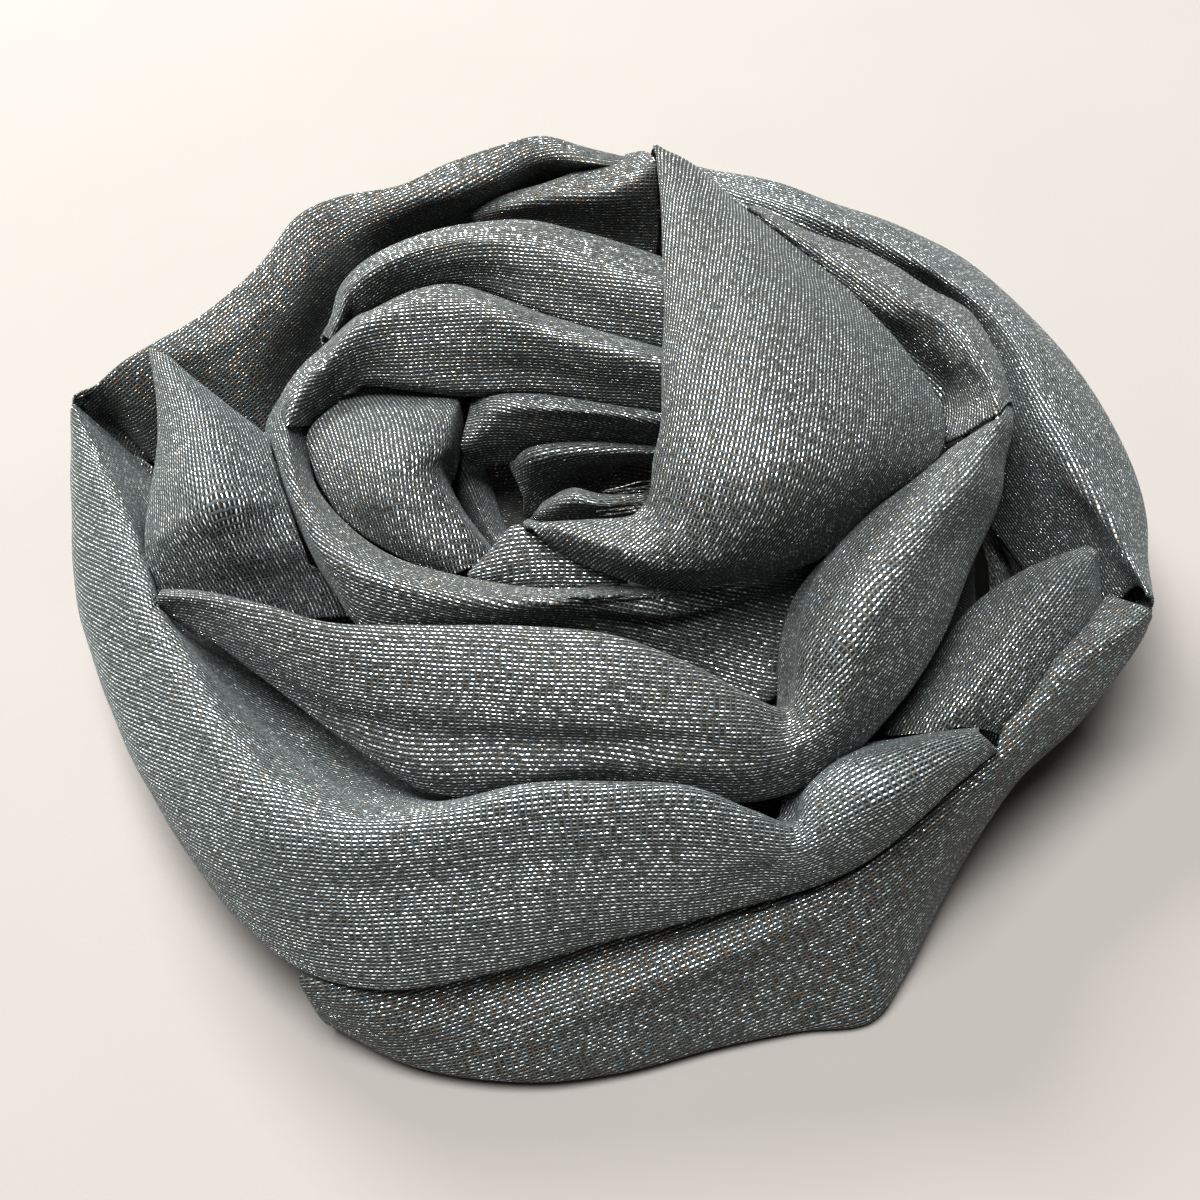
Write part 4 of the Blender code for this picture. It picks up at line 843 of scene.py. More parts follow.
@dataclass(frozen=True)
class TableCloth:
    """The plain white cloth under the scarf."""

    name: str = "table_white"
    colour: Colour = (0.196, 0.189, 0.180, 1.0)
    shade: Colour = (0.189, 0.182, 0.173, 1.0)
    soft_scale: float = 30.0
    fine_scale: float = 1400.0
    relief: float = 0.2
    roughness: float = 0.92

    def material(self) -> bpy.types.Material:
        """Make the cloth's material."""
        board = NodeBoard(self.name)
        place = board.out(board.node("ShaderNodeTexCoord"), "Object")
        soft = board.noise(place, self.soft_scale, 3.0)
        fine = board.noise(place, self.fine_scale)
        colour = board.blend(soft, self.shade, self.colour)
        bump = board.node(
            "ShaderNodeBump", None, Strength=0.12, Distance=self.relief * MM, Height=fine,
        )
        surface = board.node(
            "ShaderNodeBsdfPrincipled", None,
            Base_Color=colour, Roughness=self.roughness, Normal=board.out(bump, "Normal"),
        )
        return board.finish(surface)


@dataclass
class Studio:
    """Pale table, soft light from the upper left, and the camera, in metres and degrees."""

    table_size: float = 40.0
    elevation: float = 52.0
    distance: float = 0.28
    lens: float = 60.0
    target: tuple[float, float, float] = (0.0, 0.0, 0.022)
    key_place: tuple[float, float, float] = (-0.34, 0.52, 0.62)
    key_size: float = 0.34
    key_power: float = 9.8
    key_tint: tuple[float, float, float] = (1.0, 0.98, 0.95)
    sky_place: tuple[float, float, float] = (-0.14, -0.04, 0.90)
    sky_spread: float = 34.0
    sky_power: float = 7.5
    sky_tint: tuple[float, float, float] = (1.0, 0.99, 0.98)
    fill_place: tuple[float, float, float] = (0.45, -0.80, 0.45)
    fill_size: float = 0.70
    fill_power: float = 0.3
    fill_tint: tuple[float, float, float] = (1.0, 0.93, 0.86)
    world_light: float = 0.13
    world_tint: Colour = (1.0, 0.985, 0.965, 1.0)
    exposure: float = 0.36
    contrast: float = 0.76

    def build(self) -> None:
        """Build the table, the lights and the camera."""
        self.lay_table()
        self.light("key_light", self.key_place, self.key_size, self.key_power, self.key_tint)
        self.hang_sky()
        self.light("fill_light", self.fill_place, self.fill_size, self.fill_power, self.fill_tint)
        self.fill_world()
        self.place_camera()
        grading = bpy.context.scene.view_settings
        grading.view_transform = "Standard"
        grading.exposure = self.exposure
        grading.gamma = self.contrast

    def lay_table(self) -> None:
        """Lay the table's white cloth just under the scarf."""
        bpy.ops.object.select_all(action="DESELECT")
        bpy.ops.mesh.primitive_plane_add(size=self.table_size, location=(0.0, 0.0, 0.0))
        table = bpy.context.object
        table.name = "table_cloth"
        table.data.materials.append(TableCloth().material())

    def light(self, name: str, place: tuple, size: float, power: float, tint: tuple) -> None:
        """Hang one soft light that looks at the scarf."""
        bpy.ops.object.light_add(type="AREA", location=place)
        lamp = bpy.context.object
        lamp.name = name
        lamp.data.shape = "DISK"
        lamp.data.size = size
        lamp.data.energy = power
        lamp.data.color = tint
        self.aim(lamp)

    def aim(self, thing: bpy.types.Object) -> None:
        """Turn a light or the camera to the rosette."""
        way = Vector(self.target) - thing.location
        thing.rotation_euler = way.to_track_quat("-Z", "Y").to_euler()

    def hang_sky(self) -> None:
        """Hang the broad light that comes down evenly on the whole table."""
        bpy.ops.object.light_add(type="SUN", location=self.sky_place)
        lamp = bpy.context.object
        lamp.name = "sky_light"
        lamp.data.energy = self.sky_power
        lamp.data.angle = math.radians(self.sky_spread)
        lamp.data.color = self.sky_tint
        self.aim(lamp)

    def fill_world(self) -> None:
        """Light the room evenly and softly."""
        world = bpy.data.worlds.new("room")
        world.use_nodes = True
        ground = world.node_tree.nodes["Background"]
        ground.inputs["Color"].default_value = self.world_tint
        ground.inputs["Strength"].default_value = self.world_light
        bpy.context.scene.world = world

    def place_camera(self) -> None:
        """Place the camera above the near side, looking down at the rosette."""
        tilt = math.radians(self.elevation)
        back = Vector((0.0, -math.cos(tilt), math.sin(tilt))) * self.distance
        bpy.ops.object.camera_add(location=Vector(self.target) + back)
        camera = bpy.context.object
        camera.name = "camera"
        camera.data.lens = self.lens
        camera.data.sensor_width = 36.0
        camera.data.clip_start = 0.01
        self.aim(camera)
        bpy.context.scene.camera = camera


class Slot(str, Enum):
    """The record's material slots."""

    CLOTH = "shimmer_cloth"
    BRIGHT = "shimmer_cloth_bright"
    SHADE = "shimmer_cloth_shade"
    INNER = "shimmer_cloth_inner"


FINISHES = {
    Slot.CLOTH: ShimmerWeave("shimmer_weave"),
    # Painted light: a lit copy of the weave, with whiter silver, fewer warm dashes and a lighter
    # matt thread, for the stretches that face the light.
    Slot.BRIGHT: ShimmerWeave(
        "shimmer_weave_painted_lit", silver=(0.95, 1.0, 1.0, 1.0), warm_share=0.12,
        matt=(0.062, 0.076, 0.078, 1.0),
    ),
    # Painted shade and painted reflection: a shaded copy with darker silver and more warm brown
    # dashes, for the stretches low down and round the back.
    Slot.SHADE: ShimmerWeave(
        "shimmer_weave_shade", silver=(0.72, 0.76, 0.76, 1.0),
        warm_reflection=(0.42, 0.31, 0.22, 1.0), warm_share=0.40,
    ),
    # Painted shade: a much darker copy of the weave for the core, deep in the hollow where little
    # light gets in.
    Slot.INNER: ShimmerWeave(
        "shimmer_weave_painted_deep_shade", silver=(0.26, 0.26, 0.25, 1.0),
        warm_reflection=(0.34, 0.25, 0.18, 1.0), warm_share=0.5, matt=(0.016, 0.018, 0.018, 1.0),
    ),
}


@dataclass
class FrayedEdge:
    """Loose threads at the cloth's cut end, beside the eye of the rosette."""

    strands: tuple[tuple[tuple[float, float, float], ...], ...]
    name: str = "eye_frayed_threads"
    radius: float = 0.10
    steps: int = 12

    def build(self) -> bpy.types.Object:
        """Build all the threads as one piece.

        Returns:
            The finished mesh object.
        """
        bpy.ops.object.select_all(action="DESELECT")
        bpy.ops.curve.primitive_bezier_curve_add(location=(0.0, 0.0, 0.0))
        piece = bpy.context.object
        piece.name = self.name
        curve = piece.data
        curve.name = self.name
        curve.dimensions = "3D"
        curve.splines.clear()
        curve.bevel_depth = self.radius * MM
        curve.bevel_resolution = 1
        curve.use_fill_caps = True
        for strand in self.strands:
            path = np.array(strand) * MM
            line = smooth_at(path, np.linspace(0.0, len(path) - 1.0, self.steps))
            spline = curve.splines.new("POLY")
            spline.points.add(len(line) - 1)
            spline.points.foreach_set("co", np.c_[line, np.ones(len(line))].ravel())
            for number, point in enumerate(spline.points):
                point.radius = 1.0 - 0.5 * number / (len(line) - 1.0)
        bpy.ops.object.convert(target="MESH")
        map_threads(piece.data, mesh_points(piece.data)[:, :2])
        bpy.ops.object.shade_smooth()
        return piece


# Big smooth petal: from behind the ring, over its top, down the straight left edge,
# round the bottom and into a pointed lip before the eye.
BIG_PETAL = FoldTable(
    columns=("return", "inner", "left", "mid", "right", "outer"),
    seen="mid",
    sections=(
        ((8.5, 63, 38), (7, 65.5, 41.5), (9, 66, 42.5),
         (12, 66, 41.5), (14, 65.5, 39.5), (16, 64, 36.5)),
        ((10, 60, 47.5), (8, 62.5, 51), (10, 59.5, 52.5),
         (12, 59.5, 51.5), (14, 60, 49.5), (15.5, 61.5, 46)),
        ((10.5, 49.5, 49), (8.5, 50.5, 53), (10, 47.5, 55),
         (14, 46.5, 55), (18, 47.5, 53), (21.5, 52, 48)),
        ((10.5, 37.5, 51), (8.5, 37.5, 55), (11.5, 34.5, 57),
         (16.5, 33, 58), (23, 36, 55), (29, 43, 48)),
        ((10.5, 24.5, 52), (8.5, 24.5, 56), (12, 21.5, 59),
         (19, 20.5, 60), (28.5, 24.5, 56), (36.5, 32.5, 48)),
        ((10, 13, 52), (8, 13, 56), (12, 9.5, 60),
         (21, 8.5, 61), (32.5, 13.5, 56), (42.5, 24.5, 46)),
        ((10, 3.5, 51), (8, 3.5, 55), (12.5, -0.5, 59),
         (22.5, -1.5, 60), (35.5, 6, 54), (47, 16, 43)),
        ((9, -0.5, 49), (7, -1.5, 53), (12, -7, 57),
         (21.5, -8.5, 58), (33, -2, 53), (45.5, 8.5, 41)),
        ((8.5, -4, 47), (6.5, -5, 51), (11, -10, 54),
         (18.5, -12.5, 54), (28, -7.5, 50), (37.5, 1, 40)),
        ((7.5, -4, 45), (5.5, -6, 49), (9.5, -12, 51),
         (15, -14.5, 50), (21, -12, 46), (28, -7, 39)),
        ((4.5, -5, 44), (3.5, -7, 48), (6.5, -12.5, 49),
         (10.5, -14.5, 47), (13.5, -13.5, 44), (16, -11.5, 40)),
        ((-1, -4.5, 43), (-1, -6.5, 47), (1.5, -11.5, 48),
         (4, -13, 46), (6, -12.5, 43), (7, -12, 40)),
        ((-6, -4, 43), (-6, -6, 46), (-5, -8, 46.5),
         (-4, -9, 45.5), (-3.5, -9, 43.5), (-2, -9.5, 41.5)),
        ((-9.5, -2, 42), (-10, -4.5, 44), (-9, -6, 45),
         (-8, -7, 44.5), (-7, -7, 43), (-6, -6.5, 41)),
    ),
)

# Second band at the front. After its notch it stands up as the fat tube on the right.
FRONT_BAND_SECOND = FoldTable(
    columns=("tuck", "inner", "crest", "face", "turn", "hem"),
    seen="face",
    sections=(
        ((-57, -7.5, 32), (-58, -7.5, 34), (-58, -10, 36),
         (-58.5, -10, 34), (-58.5, -9, 31), (-56.5, -8.5, 29)),
        ((-50, -9, 32), (-52, -9.5, 36), (-51, -13, 39),
         (-51, -13.5, 36), (-50.5, -14.5, 31), (-48, -13.5, 29)),
        ((-42, -13, 35), (-43.5, -14, 39), (-43, -17, 42),
         (-43, -20, 38), (-42, -22, 31), (-39, -19.5, 29)),
        ((-32.5, -18, 38), (-34, -19.5, 42), (-33, -22.5, 45),
         (-33, -27, 40), (-32, -30, 31), (-30, -26.5, 29)),
        ((-21.5, -19.5, 40), (-22.5, -21.5, 44), (-22, -24.5, 47),
         (-22, -31, 42), (-21.5, -37, 31), (-20, -33.5, 29)),
        ((-10, -20, 41), (-10, -22, 45), (-10, -25.5, 48),
         (-9.5, -33, 43), (-10, -38, 32), (-10, -34, 29)),
        ((0.5, -21.5, 41), (1.5, -23.5, 45), (1, -26.5, 48),
         (0, -34.5, 43), (0, -37, 32), (-1, -33, 29)),
        ((10.5, -24.5, 38), (11.5, -26, 42), (10.5, -29, 45),
         (9.5, -35.5, 41), (10, -38, 32), (8, -34, 29)),
        ((17.5, -27, 35), (18.5, -28.5, 39), (18, -31, 41),
         (17.5, -36, 38), (18, -37.5, 29), (16, -34, 26)),
        ((22, -26, 32), (23.5, -27.5, 35), (23, -30, 37),
         (23.5, -34.5, 35), (24.5, -35.5, 28), (22, -32.5, 25)),
        ((23, -22, 31), (24.5, -23, 35), (25, -27, 39),
         (29.5, -31, 39), (31.5, -31.5, 29), (28.5, -29, 26)),
        ((23.5, -16, 33), (25.5, -17, 37), (25.5, -21.5, 42),
         (32, -26, 45), (39.5, -23, 32), (35.5, -20.5, 28)),
        ((26.5, -7.5, 35), (28.5, -8.5, 39), (28.5, -13.5, 44),
         (35.5, -20, 48), (45.5, -13.5, 33), (40, -12, 29)),
        ((33.5, 0.5, 36), (35.5, 0.5, 40), (35.5, -5, 45),
         (41.5, -9.5, 48), (50.5, -2.5, 34), (44.5, -2, 30)),
        ((42, 8, 37), (44, 8, 41), (44, 2.5, 45.5),
         (47.5, -1.5, 48), (54.5, 5.5, 37), (49.5, 5.5, 33)),
        ((47, 11.5, 37), (48.5, 12, 41), (48.5, 7, 45.5),
         (50.5, 4, 47.5), (55.5, 11, 38.5), (51.5, 10.5, 35.5)),
        ((51, 14, 39.5), (53, 14.5, 42.5), (53, 11.5, 46),
         (54, 11.5, 46.5), (56.5, 15, 41.5), (53.5, 14.5, 38.5)),
        ((54, 17.5, 38.5), (55, 18, 41.5), (55, 16.5, 43.5),
         (55.5, 16.5, 44), (57, 19, 40.5), (55, 18.5, 37.5)),
    ),
)

# Outer band: from the pointed corner on the left, round the front, down into a
# notch and on as a short pillow on the right.
FRONT_BAND_OUTER = FoldTable(
    columns=("tuck", "inner", "crest", "face", "turn", "hem"),
    seen="face",
    sections=(
        ((-69.5, 27.5, 22), (-76, 30, 29), (-76.5, 29, 31),
         (-77.5, 29.5, 29), (-78.5, 31.5, 24), (-77, 31, 20)),
        ((-63.5, 21.5, 19), (-70, 23.5, 26), (-72.5, 20, 31),
         (-76, 20, 27), (-78, 21, 17), (-75, 20, 9)),
        ((-57, 11, 19), (-64, 12, 26), (-65.5, 5.5, 33),
         (-72.5, 2, 26), (-74.5, 4.5, 14), (-70.5, 4.5, 6)),
        ((-53, -1.5, 18), (-60, -2.5, 25), (-58.5, -11, 34),
         (-65.5, -16.5, 26), (-67.5, -13.5, 12), (-62.5, -12, 5)),
        ((-46, -8.5, 16.5), (-52.5, -10.5, 23.5), (-50.5, -24, 34),
         (-57.5, -31.5, 26), (-58, -30, 11), (-54, -27, 5)),
        ((-36, -14, 15.5), (-41.5, -18.5, 22.5), (-41.5, -37, 34),
         (-46.5, -43.5, 27), (-46.5, -45.5, 12), (-42.5, -40, 7)),
        ((-27, -20.5, 15), (-31, -26.5, 22), (-31, -43.5, 35),
         (-35.5, -49.5, 28), (-37, -54, 15), (-34.5, -48.5, 12)),
        ((-20.5, -29, 21), (-22, -34, 24), (-20, -43.5, 36),
         (-24.5, -51, 28), (-25.5, -57.5, 17), (-24.5, -52.5, 15)),
        ((-10, -33, 26), (-10, -36, 29), (-9, -41.5, 38),
         (-11.5, -49.5, 29), (-12.5, -55.5, 18), (-12, -50.5, 16)),
        ((0, -33, 27), (0.5, -36, 30), (1, -41, 38), (0, -48, 30), (0, -52, 19), (-1, -47, 17)),
        ((9.5, -34, 27), (10.5, -36.5, 30), (11, -41, 37),
         (10.5, -46.5, 30), (11.5, -49.5, 20), (9.5, -45, 18)),
        ((17, -36, 25), (19, -38.5, 28), (18.5, -42.5, 34),
         (18.5, -46, 29), (20, -47, 20), (17.5, -42.5, 18)),
        ((22.5, -36.5, 23), (24.5, -39, 26), (24, -42.5, 31),
         (24.5, -46, 28), (27.5, -45, 21), (24.5, -41, 19)),
        ((24, -32, 24), (26, -34.5, 27), (26, -38.5, 33),
         (30.5, -43, 32), (34, -42.5, 23), (30.5, -39, 21)),
        ((29, -27.5, 25), (31.5, -29.5, 28), (31.5, -35.5, 35),
         (36.5, -40, 34), (40.5, -38, 25), (37, -35, 23)),
        ((38, -25.5, 25), (40.5, -27, 28), (40, -32.5, 34),
         (42.5, -35, 33), (46, -33, 26), (41.5, -30.5, 24)),
        ((46, -23.5, 24), (49, -25, 27), (48.5, -28.5, 31),
         (50, -29.5, 30), (51.5, -28, 26), (48, -26.5, 24)),
    ),
)

# Inner band at the front, which starts on the left of the rolls.
FRONT_BAND_INNER = FoldTable(
    columns=("tuck", "inner", "crest", "face", "turn", "hem"),
    seen="crest",
    sections=(
        ((-38.5, 25.5, 37), (-39, 26, 40), (-41.5, 23, 42),
         (-43, 23.5, 40), (-45.5, 27.5, 35), (-44.5, 26.5, 32)),
        ((-40, 18, 38), (-41, 18.5, 41), (-42.5, 14, 44),
         (-45, 16, 41), (-47, 19, 36), (-46, 19, 33)),
        ((-39.5, 10.5, 38), (-40.5, 11, 41), (-41.5, 7.5, 44),
         (-43, 7.5, 42.5), (-44, 10, 38), (-43, 9.5, 35)),
        ((-37, 4.5, 37), (-38, 4.5, 40), (-39, 0, 44),
         (-40, -0.5, 42.5), (-41, 1.5, 37), (-40, 1.5, 34)),
        ((-32.5, -1.5, 37), (-33.5, -1.5, 40), (-34.5, -7.5, 44),
         (-35, -10, 42.5), (-35, -10, 37), (-33.5, -9, 34)),
        ((-26.5, -6, 37), (-27.5, -6.5, 40), (-28, -13.5, 45),
         (-29, -15.5, 42.5), (-30, -16.5, 37), (-28.5, -15, 34)),
        ((-20, -9, 37), (-20.5, -9.5, 40), (-20, -16.5, 45),
         (-20, -18, 42.5), (-20.5, -17.5, 38), (-19.5, -16, 35)),
        ((-11.5, -10.5, 37), (-11.5, -11.5, 40), (-11.5, -18, 45),
         (-11.5, -18.5, 42.5), (-11.5, -17.5, 38), (-11.5, -15.5, 35)),
        ((-4, -11, 37), (-4, -12, 40), (-4, -18, 45),
         (-4, -17.5, 41), (-3, -16.5, 35), (-4, -14.5, 32)),
        ((2.5, -8, 35.5), (3.5, -9, 37), (5, -14.5, 41.5),
         (5.5, -15, 36.5), (6, -16, 30), (4.5, -14, 27)),
        ((12, -5.5, 33.5), (13.5, -6.5, 35), (14, -11, 38.5),
         (15, -12.5, 32.5), (14.5, -17, 26.5), (13, -16, 23.5)),
        ((21, -2.5, 31.5), (22, -3, 33), (22.5, -8, 36.5),
         (22.5, -10.5, 30.5), (22, -19, 25.5), (20.5, -18, 22.5)),
        ((28.5, 0, 30), (29.5, 0, 32), (29.5, -4.5, 35),
         (28, -7, 30), (26.5, -15, 25.5), (24.5, -14, 22.5)),
    ),
)

# Petal on the left with its point at the back.
LEFT_PETAL = FoldTable(
    columns=("underleft", "left", "mid", "right", "underright"),
    seen="mid",
    sections=(
        ((-63.5, 31.5, 36.5), (-64.5, 32, 39.5), (-61.5, 28.5, 42),
         (-60, 28.5, 40), (-61, 29, 37)),
        ((-60.5, 21.5, 36), (-62, 22.5, 40), (-56.5, 17.5, 45), (-53.5, 21, 41), (-52.5, 23, 37)),
        ((-58, 14, 34), (-61, 14.5, 39), (-52.5, 7.5, 47), (-46, 13.5, 41), (-44, 14.5, 36)),
        ((-58, 7, 33), (-61, 7.5, 38), (-50.5, -1.5, 47), (-41, 5.5, 40), (-39, 5.5, 35)),
        ((-58, 0.5, 31), (-61, 0, 36), (-50, -6, 41.5), (-37.5, -2.5, 38), (-35.5, -2.5, 34)),
        ((-57.5, -3.5, 28), (-60.5, -4, 32), (-50, -7, 34.5),
         (-35.5, -5.5, 33), (-33.5, -5.5, 30)),
        ((-56.5, -5, 24), (-59.5, -5.5, 28), (-49, -9, 28.5),
         (-33.5, -8, 28.5), (-31.5, -8, 25.5)),
    ),
)

# Upper of the rolls behind the eye.
BACK_ROLL_UPPER = FoldTable(
    columns=("hem", "low", "crest", "up", "tuck"),
    seen="crest",
    sections=(
        ((-37, 36, 34), (-37, 36, 36), (-38.5, 33.5, 39.5),
         (-40.5, 36.5, 37.5), (-40.5, 36.5, 33.5)),
        ((-36.5, 37.5, 36.5), (-36.5, 37.5, 38.5), (-37, 34.5, 43), (-39, 38, 40), (-39, 38, 36)),
        ((-34.5, 37, 40), (-34.5, 37, 43), (-35.5, 37.5, 46), (-37.5, 41.5, 43), (-38, 42.5, 36)),
        ((-29, 40, 41), (-29, 40, 44), (-30.5, 39.5, 49), (-33, 45.5, 45), (-33.5, 46, 36)),
        ((-23, 40.5, 43.5), (-23, 40.5, 46.5), (-23.5, 41.5, 51), (-25.5, 49, 46), (-26, 51, 35)),
        ((-17, 39, 43.5), (-17, 39, 46.5), (-16.5, 40, 53), (-17.5, 50, 47), (-18, 52, 35)),
        ((-10.5, 35, 43.5), (-10.5, 35, 46.5), (-10, 39.5, 53), (-10, 50.5, 47), (-10, 52.5, 35)),
        ((-3, 31, 43.5), (-3, 31, 46.5), (-3, 36, 53), (-2.5, 48, 47), (-2.5, 50, 35)),
        ((3.5, 28, 43.5), (3.5, 28, 46.5), (3.5, 33, 53), (4, 45, 47), (4.5, 46.5, 35)),
        ((10, 26, 43.5), (10, 26, 46.5), (10, 31.5, 52), (10.5, 43, 46), (11.5, 44.5, 35)),
    ),
)

# Middle roll behind the eye.
BACK_ROLL_MIDDLE = FoldTable(
    columns=("hem", "low", "crest", "up", "tuck"),
    seen="crest",
    sections=(
        ((-40, 13, 36.5), (-40, 13, 39.5), (-42.5, 10.5, 44), (-44, 13, 41), (-45, 13, 37)),
        ((-40, 16.5, 38), (-40, 16.5, 41), (-41.5, 14.5, 45.5), (-44, 18.5, 43), (-45, 19, 39)),
        ((-38.5, 19.5, 38), (-38.5, 19.5, 41), (-40, 19, 46), (-42, 24.5, 43), (-43, 25, 39)),
        ((-37.5, 21.5, 37.5), (-37.5, 21.5, 40.5), (-38, 22, 46),
         (-39, 29.5, 42.5), (-39.5, 30, 38.5)),
        ((-35.5, 23, 40), (-35.5, 23, 43), (-34.5, 26, 48.5), (-35, 34, 43.5), (-35.5, 35, 39.5)),
        ((-32.5, 24, 40), (-32.5, 24, 43), (-32, 26.5, 50), (-32, 35.5, 44), (-32.5, 36.5, 40)),
        ((-25.5, 22.5, 40.5), (-25.5, 22.5, 43.5), (-26, 29, 51), (-27, 39, 44), (-27.5, 40, 40)),
        ((-19.5, 22.5, 39.5), (-19.5, 22.5, 42.5), (-20, 29.5, 51),
         (-21.5, 40.5, 44), (-21.5, 41.5, 40)),
        ((-13, 22.5, 39.5), (-13, 22.5, 42.5), (-13.5, 27, 51), (-14.5, 38, 44), (-14.5, 39, 40)),
        ((-7, 22, 39.5), (-7, 22, 42.5), (-7, 24.5, 50), (-7.5, 34.5, 44), (-7.5, 35.5, 40)),
        ((0.5, 20, 39.5), (0.5, 20, 42.5), (1, 21.5, 50), (1, 31, 44), (1.5, 32, 40)),
        ((10, 18, 39.5), (10, 18, 42.5), (9.5, 19.5, 49), (10, 27.5, 44), (10.5, 28.5, 40)),
    ),
)

# Roll behind the big petal, from the tube's corner to the back.
BACK_RIGHT_ROLL = FoldTable(
    columns=("tuck", "turn", "face", "crest", "outer", "hem"),
    seen="crest",
    sections=(
        ((46.5, 9.5, 35), (48.5, 10, 37), (52.5, 10.5, 41),
         (54, 10.5, 43), (56.5, 14.5, 39.5), (57.5, 15, 34.5)),
        ((45.5, 11.5, 37.5), (47.5, 12, 39.5), (52, 13, 44),
         (53.5, 12.5, 46.5), (56.5, 17, 42.5), (57.5, 17.5, 37.5)),
        ((46.5, 20.5, 35), (48.5, 21.5, 37), (52, 18.5, 43.5),
         (53.5, 17.5, 46.5), (56.5, 21, 43), (57.5, 21.5, 38)),
        ((46.5, 25, 37), (48.5, 26, 39), (50, 22.5, 44.5),
         (52, 21.5, 47.5), (55.5, 26, 44), (56.5, 26.5, 39)),
        ((41.5, 29, 40), (43, 30, 42), (46, 28, 46),
         (48.5, 28, 48.5), (52.5, 34, 44.5), (53.5, 34, 39.5)),
        ((36.5, 31.5, 43), (38.5, 32.5, 45), (40, 31, 48),
         (42.5, 32, 49.5), (47, 39, 44.5), (48, 39.5, 39.5)),
        ((31, 37, 44), (32.5, 38, 46), (34, 37, 48.5),
         (35.5, 38.5, 49.5), (40.5, 45.5, 44.5), (41, 46, 39.5)),
        ((25, 44, 44.5), (26.5, 45.5, 46.5), (27, 44.5, 48.5),
         (28, 45, 49.5), (31, 51, 44.5), (31.5, 51.5, 40.5)),
        ((19, 50.5, 44.5), (20, 52.5, 46.5), (20.5, 52, 48),
         (21.5, 51.5, 49), (23.5, 57, 44.5), (23.5, 57.5, 41.5)),
        ((13, 56.5, 44.5), (13.5, 57.5, 46.5), (14, 57, 47.5),
         (15, 57.5, 48), (16.5, 62, 44), (16.5, 62.5, 42)),
    ),
)

# Outer ring on the right, from behind the petal's top to the pointed corner.
RIGHT_RING = FoldTable(
    columns=("tuck", "inner", "crest", "outer", "flank", "foot"),
    seen="crest",
    sections=(
        ((1, 62, 31), (1.5, 64, 34), (2, 66.5, 36),
         (2.5, 69, 34.5), (2.5, 70, 27), (2.5, 69.5, 19)),
        ((11.5, 66.5, 34.5), (12, 67.5, 37.5), (12.5, 69.5, 40),
         (12.5, 72, 38.5), (13, 73, 30.5), (13, 72.5, 21.5)),
        ((16, 59.5, 37.5), (17.5, 62, 41.5), (17.5, 64, 42.5),
         (18.5, 70.5, 39.5), (19.5, 72, 31.5), (19, 71.5, 22.5)),
        ((23, 56.5, 39), (24.5, 59, 43), (26, 61.5, 43),
         (27.5, 66, 41), (28.5, 67.5, 32), (28, 67, 23)),
        ((31, 51.5, 37), (33, 53.5, 41), (34, 54.5, 44),
         (36, 62.5, 40), (38, 65, 31), (37.5, 64, 22)),
        ((39.5, 47.5, 35), (41.5, 49.5, 39), (42.5, 50.5, 43),
         (46.5, 59, 38), (48.5, 61.5, 29), (48, 60.5, 20)),
        ((47.5, 44, 22), (49.5, 45.5, 37), (50.5, 44.5, 42),
         (55.5, 54, 36), (58, 55.5, 27), (57, 55, 18)),
        ((54, 36.5, 21), (56, 37.5, 36), (58, 36.5, 41),
         (64, 44, 34), (65.5, 45, 25), (64, 44, 16)),
        ((56.5, 28, 20), (58.5, 29, 35), (62, 27, 40),
         (70, 35, 32), (70.5, 35.5, 24), (69, 34.5, 15)),
        ((56.5, 20.5, 17), (59, 21, 32), (64.5, 17.5, 38),
         (74, 27, 30), (74, 27, 22), (71, 26, 13)),
        ((60.5, 13.5, 15), (63, 14, 30), (67.5, 11, 35),
         (76.5, 19, 28), (76.5, 19, 21), (73.5, 18.5, 13)),
        ((65, 8.5, 13), (67.5, 9, 28), (70.5, 5.5, 33),
         (77.5, 12, 26), (77.5, 12, 20), (74.5, 12, 12)),
        ((68, 3, 19), (71, 3, 27), (72.5, 0, 31), (76.5, 4, 26), (76.5, 4, 21), (73.5, 4, 16)),
        ((70.5, -1, 18), (73.5, -1, 26), (74, -5, 30),
         (75.5, -4.5, 28), (75.5, -4.5, 25), (73.5, -4.5, 22)),
    ),
)

